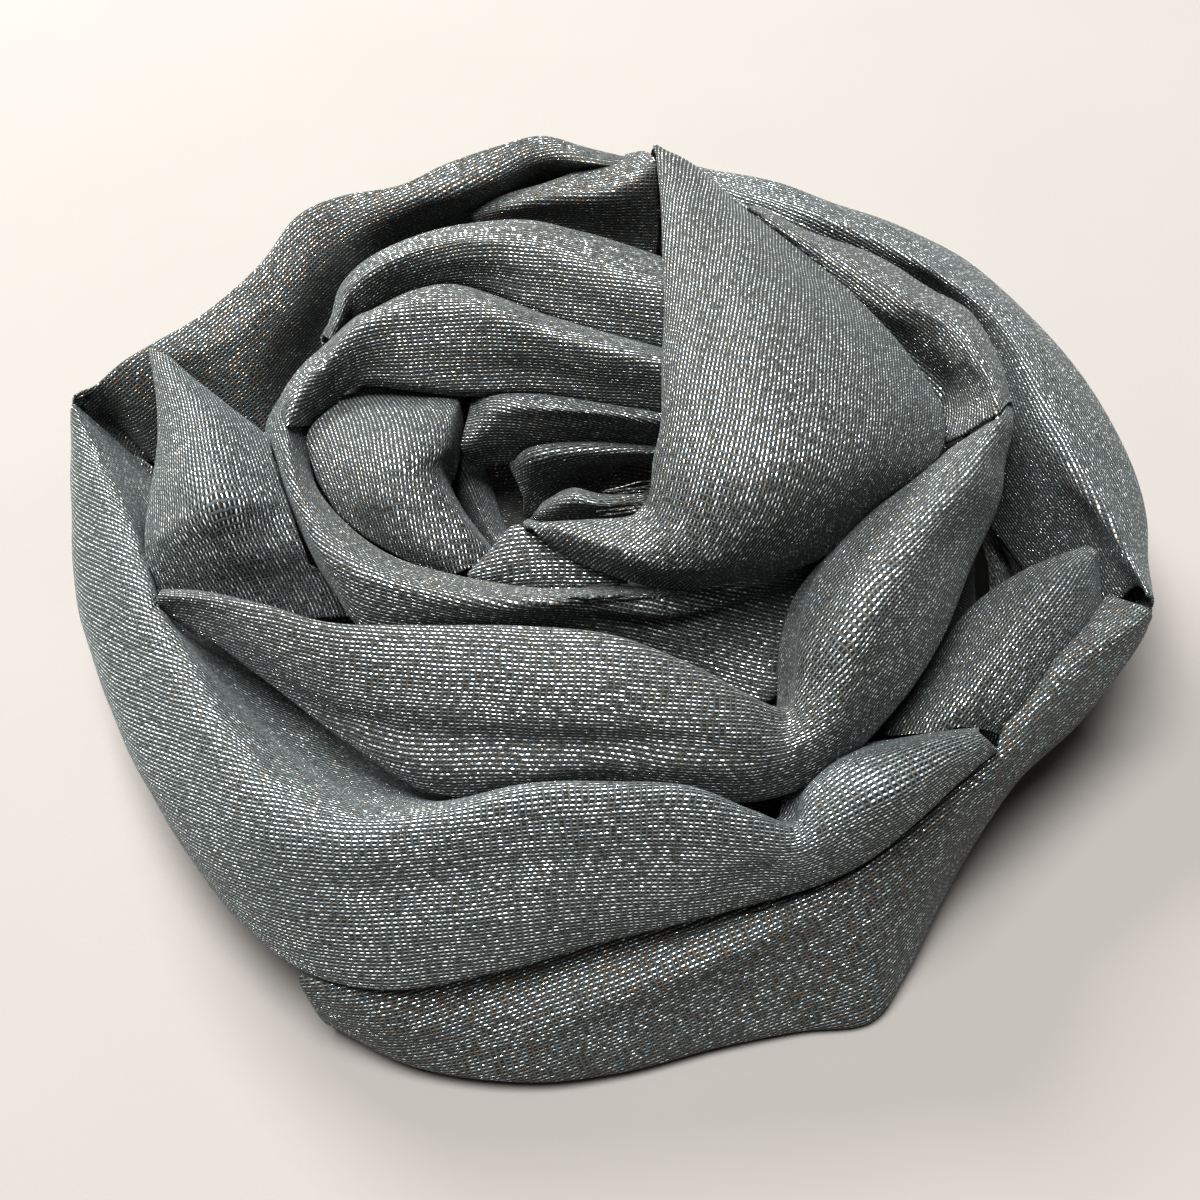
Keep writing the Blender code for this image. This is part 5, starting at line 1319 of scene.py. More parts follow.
# Outer ring round the back left, seen from inside.
BACK_RING = FoldTable(
    columns=("tuck", "low", "face", "crest", "outer", "flank", "foot"),
    seen="crest",
    sections=(
        ((-70, 28, 19.5), (-74.5, 30, 24.5), (-75.5, 30.5, 28.5), (-76.5, 30.5, 31.5),
         (-77.5, 30.5, 28.5), (-77.5, 30.5, 23.5), (-76.5, 30.5, 18.5)),
        ((-67, 30, 17), (-71.5, 32, 22), (-72.5, 31, 29.5), (-73, 31, 33),
         (-74.5, 32, 30), (-75, 32, 24), (-74, 31.5, 18)),
        ((-61.5, 26, 16), (-66, 28, 21), (-67, 30, 30.5), (-68.5, 33, 35.5),
         (-70.5, 33.5, 33), (-71.5, 34, 26), (-70.5, 33.5, 18)),
        ((-54, 27, 19), (-58.5, 29.5, 24), (-61, 32.5, 33.5), (-64, 35.5, 37),
         (-65.5, 36.5, 34.5), (-66.5, 37, 27.5), (-65.5, 36.5, 19.5)),
        ((-46, 27, 20), (-50, 29.5, 25), (-53, 34, 34.5), (-56.5, 39.5, 39),
         (-58, 40.5, 36.5), (-59, 41.5, 28.5), (-56.5, 39.5, 20.5)),
        ((-41.5, 35.5, 21), (-45, 39.5, 26), (-46.5, 41, 36.5), (-49.5, 47, 41),
         (-51, 48.5, 38.5), (-52, 49.5, 30.5), (-50, 47.5, 22.5)),
        ((-37, 44.5, 24), (-39.5, 48.5, 29), (-41, 50.5, 38.5), (-44.5, 55.5, 43),
         (-46, 57, 40.5), (-46.5, 58.5, 32.5), (-45, 56, 24.5)),
        ((-30.5, 53.5, 27), (-32.5, 58, 32), (-35.5, 56.5, 40.5), (-38.5, 60.5, 43),
         (-39, 62, 40.5), (-40, 63.5, 32.5), (-38.5, 60.5, 24.5)),
        ((-25, 57, 29), (-26, 62, 34), (-28, 59, 42.5), (-30, 62, 44),
         (-30.5, 63.5, 41.5), (-31, 65, 33.5), (-30, 62.5, 25.5)),
        ((-19, 58.5, 30), (-20, 63.5, 35), (-21.5, 60.5, 43.5), (-23.5, 65, 45),
         (-24, 67, 42.5), (-24, 68.5, 34.5), (-23.5, 65.5, 26.5)),
        ((-13.5, 60.5, 32), (-14, 65.5, 37), (-15, 63.5, 44.5), (-16, 68, 46),
         (-16, 70, 43.5), (-16, 71.5, 35.5), (-16, 68.5, 27.5)),
        ((-8, 65, 32), (-8, 70, 37), (-8.5, 67, 44.5), (-9, 70.5, 46),
         (-9, 72.5, 43.5), (-9, 74, 35.5), (-9, 71, 27.5)),
        ((-3, 61, 37.5), (-2.5, 66, 42.5), (-2, 63.5, 47), (-2.5, 68, 46),
         (-2, 70, 43.5), (-2, 71.5, 35.5), (-2, 68.5, 27.5)),
        ((1.5, 62, 36), (2.5, 66.5, 41), (3.5, 63.5, 46), (4.5, 67.5, 44.5),
         (4.5, 69.5, 42), (5, 70.5, 35), (4.5, 69.5, 27)),
        ((7.5, 60, 37), (7.5, 64.5, 41), (8, 66.5, 43), (8, 69, 42),
         (8.5, 71.5, 39), (8.5, 73.5, 33), (8.5, 72.5, 26)),
    ),
)

# Short ridge between the outer ring and the upper roll.
BACK_RIDGE = FoldTable(
    columns=("tuck", "low", "crest", "upper", "hem"),
    seen="crest",
    sections=(
        ((-20, 60.5, 33), (-20, 61.5, 35), (-21, 62.5, 37),
         (-22.5, 66.5, 35.5), (-22.5, 67.5, 32.5)),
        ((-13.5, 58, 36), (-13.5, 59, 39), (-14.5, 59.5, 42),
         (-15.5, 65, 39.5), (-15.5, 66, 36.5)),
        ((-6, 56.5, 37.5), (-6, 57.5, 40.5), (-7, 57.5, 46), (-8, 65, 42), (-7.5, 66, 39)),
        ((1, 54, 32), (1, 56, 39), (0, 56, 48), (-1.5, 66.5, 44), (-1.5, 67.5, 41)),
        ((5.5, 54, 32), (6, 56, 39), (5.5, 57.5, 49), (3.5, 66.5, 46), (3.5, 67.5, 43)),
        ((8.5, 54.5, 33), (9.5, 56.5, 40), (9, 60.5, 49), (8.5, 67, 47), (8.5, 68, 44)),
    ),
)

# Full lobe on the left of the eye.
INNER_LEFT_LOBE = FoldTable(
    columns=("left", "mid", "right", "eyeside", "hem"),
    seen="mid",
    sections=(
        ((-41, 21.5, 39), (-31.5, 27.5, 36), (-21, 27.5, 36), (-20, 30.5, 32), (-20, 30.5, 29)),
        ((-40.5, 14.5, 41), (-30.5, 16, 43), (-21, 16, 43), (-19.5, 22, 36), (-19.5, 22, 32)),
        ((-39, 9, 40), (-29, 6.5, 46), (-21, 9, 44), (-20, 14.5, 37), (-20, 14.5, 33)),
        ((-37, 4.5, 38), (-28.5, 1, 44), (-22, 5.5, 43), (-21, 11, 36), (-21, 11, 32)),
        ((-32, -0.5, 37), (-25, -2.5, 41), (-20, 1.5, 41), (-19, 7, 34), (-19, 7, 31)),
        ((-25.5, -4.5, 36), (-21, -5, 39), (-16.5, -2, 38), (-15.5, 2, 33), (-15.5, 2, 31)),
        ((-19.5, -7, 36), (-17.5, -6.5, 37), (-13.5, -3.5, 35), (-13, -2, 33), (-13, -2, 31)),
    ),
)

# Lower roll behind the eye.
BACK_ROLL_LOWER = FoldTable(
    columns=("hem", "low", "crest", "up", "tuck"),
    seen="crest",
    sections=(
        ((-21, 15.5, 30.5), (-20.5, 15, 36.5), (-19.5, 22, 36.5),
         (-19, 27.5, 36), (-19.5, 29, 30.5)),
        ((-16, 17.5, 30.5), (-15.5, 17, 36.5), (-14, 19, 41.5), (-14, 25.5, 38), (-14, 27, 32.5)),
        ((-7, 18.5, 30.5), (-7, 18, 36.5), (-7, 17.5, 42.5), (-7, 24, 39), (-7, 25.5, 33.5)),
        ((1, 18, 30.5), (0.5, 18, 36.5), (0.5, 16.5, 42.5), (0.5, 22.5, 39), (1.5, 24, 33.5)),
        ((10, 17.5, 30.5), (10, 17, 36.5), (9.5, 16, 41.5), (10, 21, 39), (11, 22, 33.5)),
    ),
)

# Deepest roll behind the eye.
BACK_ROLL_DEEP = FoldTable(
    columns=("hem", "low", "crest", "up", "tuck"),
    seen="crest",
    sections=(
        ((-11, 14.5, 20.5), (-11, 15, 26.5), (-13, 18, 30), (-13.5, 23.5, 28), (-14, 26.5, 22)),
        ((-8.5, 15, 21.5), (-8.5, 15.5, 27.5), (-9, 14.5, 36), (-9.5, 22, 31), (-9, 25, 25)),
        ((-1, 17, 21.5), (-0.5, 17.5, 27.5), (-1.5, 14.5, 37), (-1.5, 21.5, 32), (0, 24, 26)),
        ((9, 19.5, 21.5), (9.5, 20, 27.5), (9, 15, 36), (9.5, 21, 32), (11.5, 23, 26)),
    ),
)

# Small facet in front of the eye.
EYE_FRONT_FOLD = FoldTable(
    columns=("back", "crest", "mid", "low", "hem"),
    seen="mid",
    sections=(
        ((-17, -7, 36), (-18, -9, 38), (-18, -9.5, 38), (-17.5, -9.5, 37), (-17.5, -9.5, 35)),
        ((-13.5, -4.5, 38), (-14.5, -6.5, 41), (-13.5, -9, 40), (-13, -10, 37), (-13, -10, 35)),
        ((-10, -2, 39), (-11, -4, 43), (-9, -8, 41), (-7, -11, 37), (-7, -11, 35)),
        ((-5, -4.5, 39), (-5, -6.5, 42), (-3.5, -9, 40), (-1, -11, 37), (-1, -11, 35)),
        ((2, -7, 38), (2, -9, 40), (3, -10, 39), (5, -10.5, 37), (5, -10.5, 35)),
    ),
)

# Last turn of the cloth, curled up in the eye.
EYE_CURL = FoldTable(
    columns=("hem", "low", "crest", "up", "tuck"),
    seen="crest",
    sections=(
        ((-11, 9.5, 24), (-11, 9.5, 26), (-9, 9.5, 30), (-8, 14, 27), (-8, 15, 24)),
        ((-5.5, 8, 26), (-5.5, 8, 28), (-4, 6.5, 36), (-4, 13, 31), (-4, 14, 28)),
        ((0.5, 8, 26), (0.5, 8, 28), (0.5, 5.5, 36), (0.5, 11, 32), (0.5, 12, 29)),
        ((7.5, 9.5, 26), (7.5, 9.5, 28), (7, 8, 34), (6.5, 12, 31), (6.5, 13, 28)),
    ),
)

# Tongue of cloth that goes down into the eye.
EYE_TONGUE = FoldTable(
    columns=("left", "crest", "right", "hem"),
    seen="crest",
    sections=(
        ((-22.5, 26.5, 23.5), (-20, 24, 26.5), (-18, 28, 22.5), (-17, 28, 19.5)),
        ((-21, 17.5, 25.5), (-18.5, 15, 29.5), (-16, 19, 24.5), (-15, 19, 21.5)),
        ((-18.5, 11, 25.5), (-16, 7.5, 30.5), (-14, 11.5, 25.5), (-13, 11.5, 22.5)),
        ((-15, 4.5, 26.5), (-13.5, 2.5, 30.5), (-12, 6.5, 26.5), (-11, 6.5, 23.5)),
    ),
)

# Lobe in the dark hollow between the tube and the outer ring.
RIGHT_LOBE = FoldTable(
    columns=("tuck", "left", "crest", "right", "hem"),
    seen="crest",
    sections=(
        ((66, 6.5, 23), (68, 6.5, 26), (69, 4, 28), (70, 4.5, 26), (73, 4.5, 17)),
        ((57.5, 2, 24), (59.5, 1.5, 27), (62.5, -3, 31), (67, -4, 27), (70, -4, 18)),
        ((49.5, -5.5, 24), (51, -5.5, 27), (56, -11.5, 32), (62, -12.5, 27), (65, -13, 18)),
        ((43, -14.5, 23), (45, -15, 26), (50.5, -18.5, 31), (56, -20, 27), (57, -20, 21)),
        ((38, -21, 21), (39.5, -22, 24), (46, -24, 29), (52.5, -23.5, 25), (53.5, -24, 20)),
        ((36.5, -24, 18), (38, -25, 21), (44, -26.5, 25), (49.5, -25.5, 22), (50.5, -26, 18)),
    ),
)

# Lowest band at the front: a strip below the outer band, a soft ridge, then the
# face that drops to the table. It ends in the pointed corner on the right.
SKIRT_FRONT = FoldTable(
    columns=("tuck", "top", "ridge", "foot", "under"),
    seen="ridge",
    sections=(
        ((-35.5, -49.5, 13), (-38, -54, 14), (-37, -55.5, 9), (-35.5, -55, 2), (-34, -51.5, 0)),
        ((-26, -52.5, 14), (-27.5, -57, 14), (-25.5, -60.5, 8), (-24, -61, 2), (-23, -56, 0)),
        ((-17, -50, 15), (-17.5, -55, 15), (-12, -60.5, 8), (-9, -63, 2), (-9, -58, 0)),
        ((-5.5, -47, 16), (-5, -52, 16), (0, -57, 11), (3, -61.5, 2), (2, -56.5, 0)),
        ((5, -44.5, 17), (6.5, -49, 17), (11.5, -52.5, 14), (15, -58, 2), (13, -53, 0)),
        ((15.5, -42, 18), (18, -46.5, 18), (22, -48.5, 17), (26, -55.5, 2), (23.5, -51.5, 0)),
        ((26, -39.5, 20), (29.5, -43.5, 20), (33, -44.5, 19), (35.5, -54, 2), (32.5, -50, 0)),
        ((33, -35.5, 22), (36.5, -39, 22), (40.5, -39.5, 20), (40.5, -48, 2), (37, -44.5, 0)),
        ((36, -27.5, 18), (43.5, -32.5, 24), (48, -34, 21), (47.5, -36, 5), (43.5, -33, 1)),
        ((43.5, -21.5, 20), (51.5, -25.5, 26), (55.5, -27.5, 23),
         (55.5, -25.5, 13), (50, -23, 4)),
        ((52, -8, 20), (60.5, -15.5, 28), (64.5, -17.5, 25), (65.5, -17.5, 17), (58.5, -15.5, 8)),
        ((60, 1, 20), (70, -8.5, 28), (73, -9, 26), (73.5, -8, 20), (67.5, -7, 13)),
        ((67, 5, 21), (74.5, -5, 28), (76, -4.5, 26), (76.5, -3, 23), (73.5, -3, 20)),
    ),
)

# Band round the back below the outer ring, from corner to corner. It isn't seen in front.
BACK_BAND = FoldTable(
    columns=("tuck", "top", "face", "turn", "hem"),
    seen="face",
    sections=(
        ((-47.5, -1.5, 16), (-59.5, -3.5, 17), (-61.5, -3.5, 14),
         (-60.5, -3.5, 10), (-57.5, -3, 10)),
        ((-51, 7, 16), (-63, 7, 17), (-65, 7.5, 14), (-64, 7, 10), (-61, 7, 10)),
        ((-56.5, 17, 16), (-68.5, 19.5, 17), (-71.5, 20, 13), (-68.5, 19.5, 9), (-65.5, 19, 9)),
        ((-55.5, 27.5, 21), (-67, 32, 22), (-69.5, 33, 14), (-67, 32, 9), (-64, 31, 9)),
        ((-44, 34.5, 24), (-54, 41.5, 25), (-57, 43.5, 15), (-54.5, 42, 9), (-52, 40, 9)),
        ((-36, 42.5, 27), (-44.5, 51, 28), (-48, 54.5, 17), (-46.5, 53, 10), (-44.5, 51, 10)),
        ((-28, 50, 29), (-34.5, 60, 30), (-37, 64.5, 19), (-36, 62.5, 10), (-34.5, 60, 10)),
        ((-17, 52, 31), (-21, 63.5, 32), (-23, 68, 20), (-22.5, 67, 11), (-21.5, 64, 11)),
        ((-7, 55.5, 31), (-9, 67.5, 32), (-9.5, 74.5, 20), (-9.5, 72.5, 11), (-9, 69.5, 11)),
        ((3.5, 53, 30), (4, 65, 31), (4.5, 72, 20), (4.5, 71, 11), (4.5, 68, 11)),
        ((13.5, 52, 29), (17, 63.5, 30), (18, 68.5, 19), (18, 67.5, 10), (17, 64.5, 10)),
        ((23.5, 49, 28), (29, 59.5, 29), (32, 65, 18), (31, 63.5, 10), (29.5, 60.5, 10)),
        ((36, 48, 26), (43.5, 57, 27), (47, 61, 16), (45, 58.5, 9), (43, 56.5, 9)),
        ((45.5, 40.5, 23), (55, 48, 24), (59, 51, 14), (56.5, 49.5, 9), (54.5, 47.5, 9)),
        ((52, 30.5, 20), (63, 35.5, 21), (66.5, 37.5, 13), (64, 36, 8), (61, 35, 8)),
        ((55.5, 19, 18), (67, 21.5, 19), (70, 22.5, 12), (67, 21.5, 8), (64, 21, 8)),
        ((56, 9, 18), (68, 9.5, 19), (71, 10, 13), (68, 9.5, 9), (65, 9.5, 9)),
        ((53.5, -0.5, 19), (65.5, -2, 20), (68.5, -2, 14), (65.5, -2, 9), (62.5, -1.5, 9)),
        ((48.5, -8, 18), (60, -11, 19), (62, -11.5, 14), (60, -11, 10), (57, -10.5, 10)),
    ),
)

# Lowest band round the back and sides, from one end of the front skirt to the other.
BACK_SKIRT = FoldTable(
    columns=("tuck", "top", "ridge", "foot", "under"),
    seen="ridge",
    sections=(
        ((-34, -33, 11), (-35.5, -34.5, 11), (-39, -38, 5), (-41, -40.5, 1.5), (-38, -37.5, 0.5)),
        ((-42.5, -21.5, 11), (-44, -22.5, 11), (-48.5, -25, 4.5),
         (-51, -27, 1.5), (-47.5, -24.5, 0.5)),
        ((-50, -9.5, 11), (-52, -10, 11), (-57.5, -11.5, 4.5),
         (-60.5, -12.5, 1.5), (-56.5, -11.5, 0.5)),
        ((-56, 3, 12), (-58, 3, 12), (-64, 3, 5), (-66, 2.5, 1.5), (-62, 3, 0.5)),
        ((-57.5, 17.5, 14), (-59.5, 17.5, 14), (-65.5, 19, 6),
         (-68.5, 19.5, 1.5), (-64.5, 18.5, 0.5)),
        ((-55, 29.5, 14), (-56.5, 30, 14), (-62, 32.5, 6.5), (-66, 34.5, 1.5), (-62, 32.5, 0.5)),
        ((-45.5, 38, 14), (-47, 39, 14), (-52, 42.5, 6.5), (-55, 45, 1.5), (-52, 42.5, 0.5)),
        ((-37.5, 46.5, 15), (-39, 48, 15), (-43, 52.5, 7), (-46, 56.5, 1.5), (-43.5, 53.5, 0.5)),
        ((-28.5, 54.5, 15), (-29.5, 56, 15), (-32.5, 61.5, 7), (-35, 65.5, 1.5), (-33, 62, 0.5)),
        ((-15, 58, 15), (-15.5, 60, 15), (-17.5, 65.5, 7.5), (-19, 71.5, 1.5), (-18, 67.5, 0.5)),
        ((-2, 62, 15), (-2, 64, 15), (-2.5, 70, 7.5), (-2.5, 75, 1.5), (-2.5, 71, 0.5)),
        ((11.5, 59, 15), (12, 61, 15), (13, 66.5, 7), (14, 71.5, 1.5), (13.5, 67.5, 0.5)),
        ((24, 54.5, 14), (25, 56, 14), (27.5, 61.5, 7), (30, 66, 1.5), (28, 62.5, 0.5)),
        ((38, 50, 14), (39, 51.5, 14), (43, 56.5, 6.5), (46.5, 60, 1.5), (43.5, 57, 0.5)),
        ((49.5, 41, 13), (51, 42, 13), (56, 45.5, 6), (60, 48.5, 1.5), (56.5, 46, 0.5)),
        ((55.5, 27.5, 12), (57.5, 28, 12), (63, 30.5, 6), (67, 32, 1.5), (63, 30.5, 0.5)),
        ((57.5, 13, 12), (59.5, 13.5, 12), (65.5, 14, 6), (69.5, 14.5, 1.5), (65.5, 14, 0.5)),
        ((54.5, -0.5, 13), (56.5, -1, 13), (62.5, -1.5, 6.5), (65.5, -2, 1.5), (61.5, -1.5, 0.5)),
        ((50.5, -11.5, 12), (52.5, -12, 12), (57, -13.5, 6), (59, -14, 1.5), (55, -13, 0.5)),
        ((42.5, -19.5, 11), (44, -20.5, 11), (47.5, -22.5, 6), (50, -24, 1.5), (47, -22, 0.5)),
        ((35.5, -27, 10), (37, -28.5, 10), (39.5, -30.5, 5.5),
         (41.5, -32.5, 1.5), (38.5, -30, 0.5)),
    ),
)

# The stretches in the order in which they lie on each other: an earlier one keeps
# its shape, and a later one stops short of it.
STRETCHES = (
    ClothStretch(
        "big_petal", BIG_PETAL,
        creases=(
            Crease(((1.7, 2.71), (3.3, 2.14), (4.7, 2), (6, 2), (7, 2.07)), 2.6, -0.35),
            Crease(((2, 3.64), (3.9, 2.64), (5.3, 2.5), (6.5, 2.5)), 2.4, 0.3),
            Crease(((3, 4.86), (4.5, 3.93), (5.8, 3.71)), 3, 0.25),
            Crease(((7.7, 1.21), (8.7, 2.29), (8.7, 3.21), (8.6, 4.14)), 2.2, 0.35),
            Crease(((11.1, 1.79), (10.1, 2.14), (9.6, 3.07)), 1.6, 0.3),
        ),
    ),
    ClothStretch(
        "front_band_second", FRONT_BAND_SECOND,
        creases=(
            Crease(
                ((1.6, 3.36), (2.6, 3.64), (3.8, 3.36), (5.5, 3.36), (7.3, 3.14), (8.5, 3.07)),
                1.7, 1.05,
            ),
            Crease(((3.1, 3.71), (3.8, 3.71), (5.3, 3.64), (7.1, 3.43), (8.3, 3.36)), 1.8, -0.75),
            Crease(((3.2, 2.5), (4.3, 2.57), (5.5, 2.57), (6.6, 2.5)), 2.6, -0.3),
            Crease(((10, 3.21), (11, 3.29), (12.3, 3.36), (13.4, 3.36), (14.5, 3.14)), 2.2, 0.35),
            Crease(((10.9, 2.57), (12.1, 2.57), (12.9, 2.64)), 2, -0.3),
        ),
    ),
    ClothStretch(
        "front_band_outer", FRONT_BAND_OUTER,
        thread_angle=15,
        creases=(
            Crease(((3.9, 1.29), (4.7, 1.29), (5.7, 1.43), (6.6, 1.93)), 3.6, 1.3),
            Crease(((1.3, 2.14), (2.3, 2.29), (3.3, 2.21), (4.4, 2.21), (5.6, 2.21)), 2.2, -0.7),
            Crease(((2.7, 2.57), (3.7, 2.64), (4.8, 2.79), (5.9, 3.14)), 3.4, 0.55),
            Crease(((6.5, 3), (7.7, 2.86), (9, 2.93), (10.6, 2.93)), 3, 0.45),
            Crease(((6.3, 3.57), (7.5, 3.36), (9, 3.5), (10.8, 3.36)), 2.4, -0.35),
            Crease(((12, 2.57), (11.1, 3.36), (10.2, 3.43)), 1.8, 0.4),
            Crease(((13.4, 2.64), (14.2, 2.86), (15.2, 2.93)), 1.8, -0.35),
        ),
    ),
    ClothStretch(
        "front_band_inner", FRONT_BAND_INNER,
        creases=(
            Crease(((7.8, 2.14), (9, 2.29), (10.2, 2.07), (11.8, 1.93)), 1.2, 0.95),
            Crease(((8.1, 2.93), (9.2, 3.07), (10.5, 2.57), (12, 2.57)), 1.2, 1),
            Crease(((8.4, 2.5), (9.5, 2.71), (10.8, 2.43)), 1, -0.6),
            Crease(((1.6, 1.93), (2.8, 2.86), (4.1, 2.79), (5.3, 2.5)), 1.4, -0.25),
        ),
    ),
    ClothStretch(
        "left_petal", LEFT_PETAL,
        creases=(
            Crease(((4.1, 1.21), (3.7, 1.64), (3.3, 2.14), (3.3, 2.79)), 1.8, -0.8),
            Crease(((4.5, 1.43), (4, 2.14), (3.9, 2.86)), 2.2, 0.5),
            Crease(((1.2, 1.57), (1.8, 2), (2.8, 2.07)), 2, 0.3),
        ),
    ),
    ClothStretch(
        "back_roll_upper", BACK_ROLL_UPPER,
        creases=(
            Crease(((2.7, 1.93), (3.9, 1.86), (5.9, 1.71), (8.4, 1.64)), 2, 0.35),
            Crease(((5, 1.21), (6.7, 1.36), (8.3, 1.21)), 1.6, 0.35),
            Crease(((3.1, 1.21), (4.5, 1.43), (6.3, 1.57)), 1.4, -0.3),
        ),
    ),
    ClothStretch(
        "back_roll_middle", BACK_ROLL_MIDDLE,
        creases=(
            Crease(((4.8, 1.71), (6.4, 1.64), (8.4, 1.64), (10.5, 1.57)), 2, 0.3),
            Crease(((6.8, 1.21), (8.8, 1.29), (10.6, 1.21)), 1.4, 0.35),
        ),
    ),
    ClothStretch(
        "back_right_roll", BACK_RIGHT_ROLL,
        creases=(
            Crease(((7.1, 1.79), (6.1, 1.93), (5, 2.43), (3.7, 2.57)), 1.4, 0.35),
            Crease(((3.2, 2.29), (2.3, 2.14)), 1.4, 0.35),
        ),
    ),
    ClothStretch(
        "right_ring", RIGHT_RING,
        creases=(
            Crease(((3.8, 2.29), (5.1, 2.14), (6.5, 2.07), (8.1, 2.14), (9.5, 2.14)), 2.4, 0.45),
            Crease(((4.6, 1.79), (5.8, 1.71), (7, 1.29), (8.5, 1.57)), 2, -0.35),
            Crease(((9.2, 2.57), (10.6, 2.36), (12, 2.07)), 1.6, 0.5),
            Crease(((9.2, 1.86), (10.5, 1.79), (11.7, 1.93)), 1.6, -0.3),
            Crease(((3, 4.4), (5, 4.2), (8, 4.5)), 3, 0.6),
            Crease(((2, 3.6), (4, 3.8), (6, 3.5), (9, 3.7)), 2.2, -0.4),
        ),
    ),
    ClothStretch(
        "back_ring", BACK_RING,
        creases=(
            Crease(((2.6, 2.57), (3.4, 2.36), (4.2, 2.36), (4.9, 2.5)), 1.6, -0.45),
            Crease(((4.9, 2.79), (5, 2), (4.9, 1.43)), 2.4, 0.55),
            Crease(((6.5, 2.57), (6.5, 2.07), (6.5, 1.57)), 2, 0.5),
            Crease(((5.7, 2.5), (5.7, 1.93)), 1.8, -0.4),
            Crease(((7.9, 2.21), (8.7, 2.21), (10, 2.14)), 1.6, -0.35),
        ),
    ),
    ClothStretch(
        "back_ridge", BACK_RIDGE,
        creases=(
            Crease(((0.9, 1.86), (2.1, 1.71), (3.4, 1.93)), 1.4, -0.4),
            Crease(((1.8, 2.21), (2.9, 2.21), (4.2, 2.21)), 1.4, 0.45),
        ),
    ),
    ClothStretch(
        "inner_left_lobe", INNER_LEFT_LOBE,
        creases=(
            Crease(((1.3, 0.36), (2.5, 0.86), (3.8, 0.93)), 2.6, 0.3),
            Crease(((1.3, 1.29), (2.5, 1.5), (3.9, 1.71)), 2, -0.3),
            Crease(((0.4, 0.5), (0.9, 1.29), (0.8, 1.79)), 1.2, -0.3),
        ),
    ),
    ClothStretch(
        "back_roll_lower", BACK_ROLL_LOWER,
        creases=(
            Crease(((0.8, 1.43), (2.2, 1.57), (3.5, 1.64)), 1.3, 0.4),
        ),
    ),
    ClothStretch("back_roll_deep", BACK_ROLL_DEEP),
    ClothStretch("eye_front_fold", EYE_FRONT_FOLD, part_of="front_band_inner"),
    ClothStretch("eye_curl", EYE_CURL, part_of="big_petal"),
    ClothStretch("eye_tongue", EYE_TONGUE, part_of="big_petal"),
    ClothStretch(
        "right_lobe", RIGHT_LOBE,
        creases=(
            Crease(((0.9, 2.07), (2, 2), (3, 2.07), (4.2, 2)), 1.8, -0.4),
            Crease(((1.6, 2.29), (2.7, 2.21), (3.8, 2.43)), 1.8, 0.4),
        ),
    ),
    ClothStretch(
        "skirt_front", SKIRT_FRONT,
        creases=(
            Crease(((1.2, 1.29), (2.5, 1.29), (3.7, 1.43), (4.9, 1.79), (5.9, 1.93)), 2.2, 1.3),
            Crease(((1.9, 2.07), (2.9, 1.93), (4.1, 2.07), (5.2, 2.07), (5.9, 2.07)), 2.2, -1.2),
            Crease(((3, 2.57), (3.9, 2.5), (5, 2.5), (5.8, 2.5)), 3.2, 0.5),
            Crease(((0.3, 2.07), (1, 2.07), (1.7, 2.29)), 2, 0.4),
            Crease(((7.8, 1.93), (8.9, 2), (9.9, 2.14)), 1.6, 0.5),
        ),
    ),
    ClothStretch(
        "back_band", BACK_BAND,
        creases=(
            Crease(((1, 1.6), (4, 1.3), (7, 1.8), (10, 1.5)), 2.2, 0.7),
            Crease(((8, 2.5), (11, 2.2), (15, 2.6)), 2.4, 0.7),
            Crease(((3, 2.6), (6, 2.3), (9, 2.9)), 2, -0.6),
            Crease(((11, 1.3), (14, 1.7), (17, 1.4)), 2, -0.5),
        ),
    ),
    ClothStretch(
        "back_skirt", BACK_SKIRT,
        creases=(
            Crease(((1, 1.6), (5, 1.3), (9, 1.8), (13, 1.4)), 2, 0.7),
            Crease(((4, 2.3), (8, 2.6), (12, 2.2)), 1.8, -0.5),
            Crease(((11, 1.9), (15, 1.5), (19, 1.8)), 2, 0.6),
            Crease(((14, 2.5), (17, 2.3), (19, 2.6)), 1.8, -0.4),
        ),
    ),
)

# The stretches that take a copy of the weave with painted light (BRIGHT) or with painted shade
# and painted warm reflections (SHADE); the rest take the plain weave.
SLOTS = {
    "right_ring": Slot.BRIGHT,
    "front_band_outer": Slot.BRIGHT,
    "left_petal": Slot.BRIGHT,
    "back_ring": Slot.SHADE,
    "back_ridge": Slot.SHADE,
    "back_band": Slot.SHADE,
    "back_skirt": Slot.SHADE,
    "skirt_front": Slot.SHADE,
}

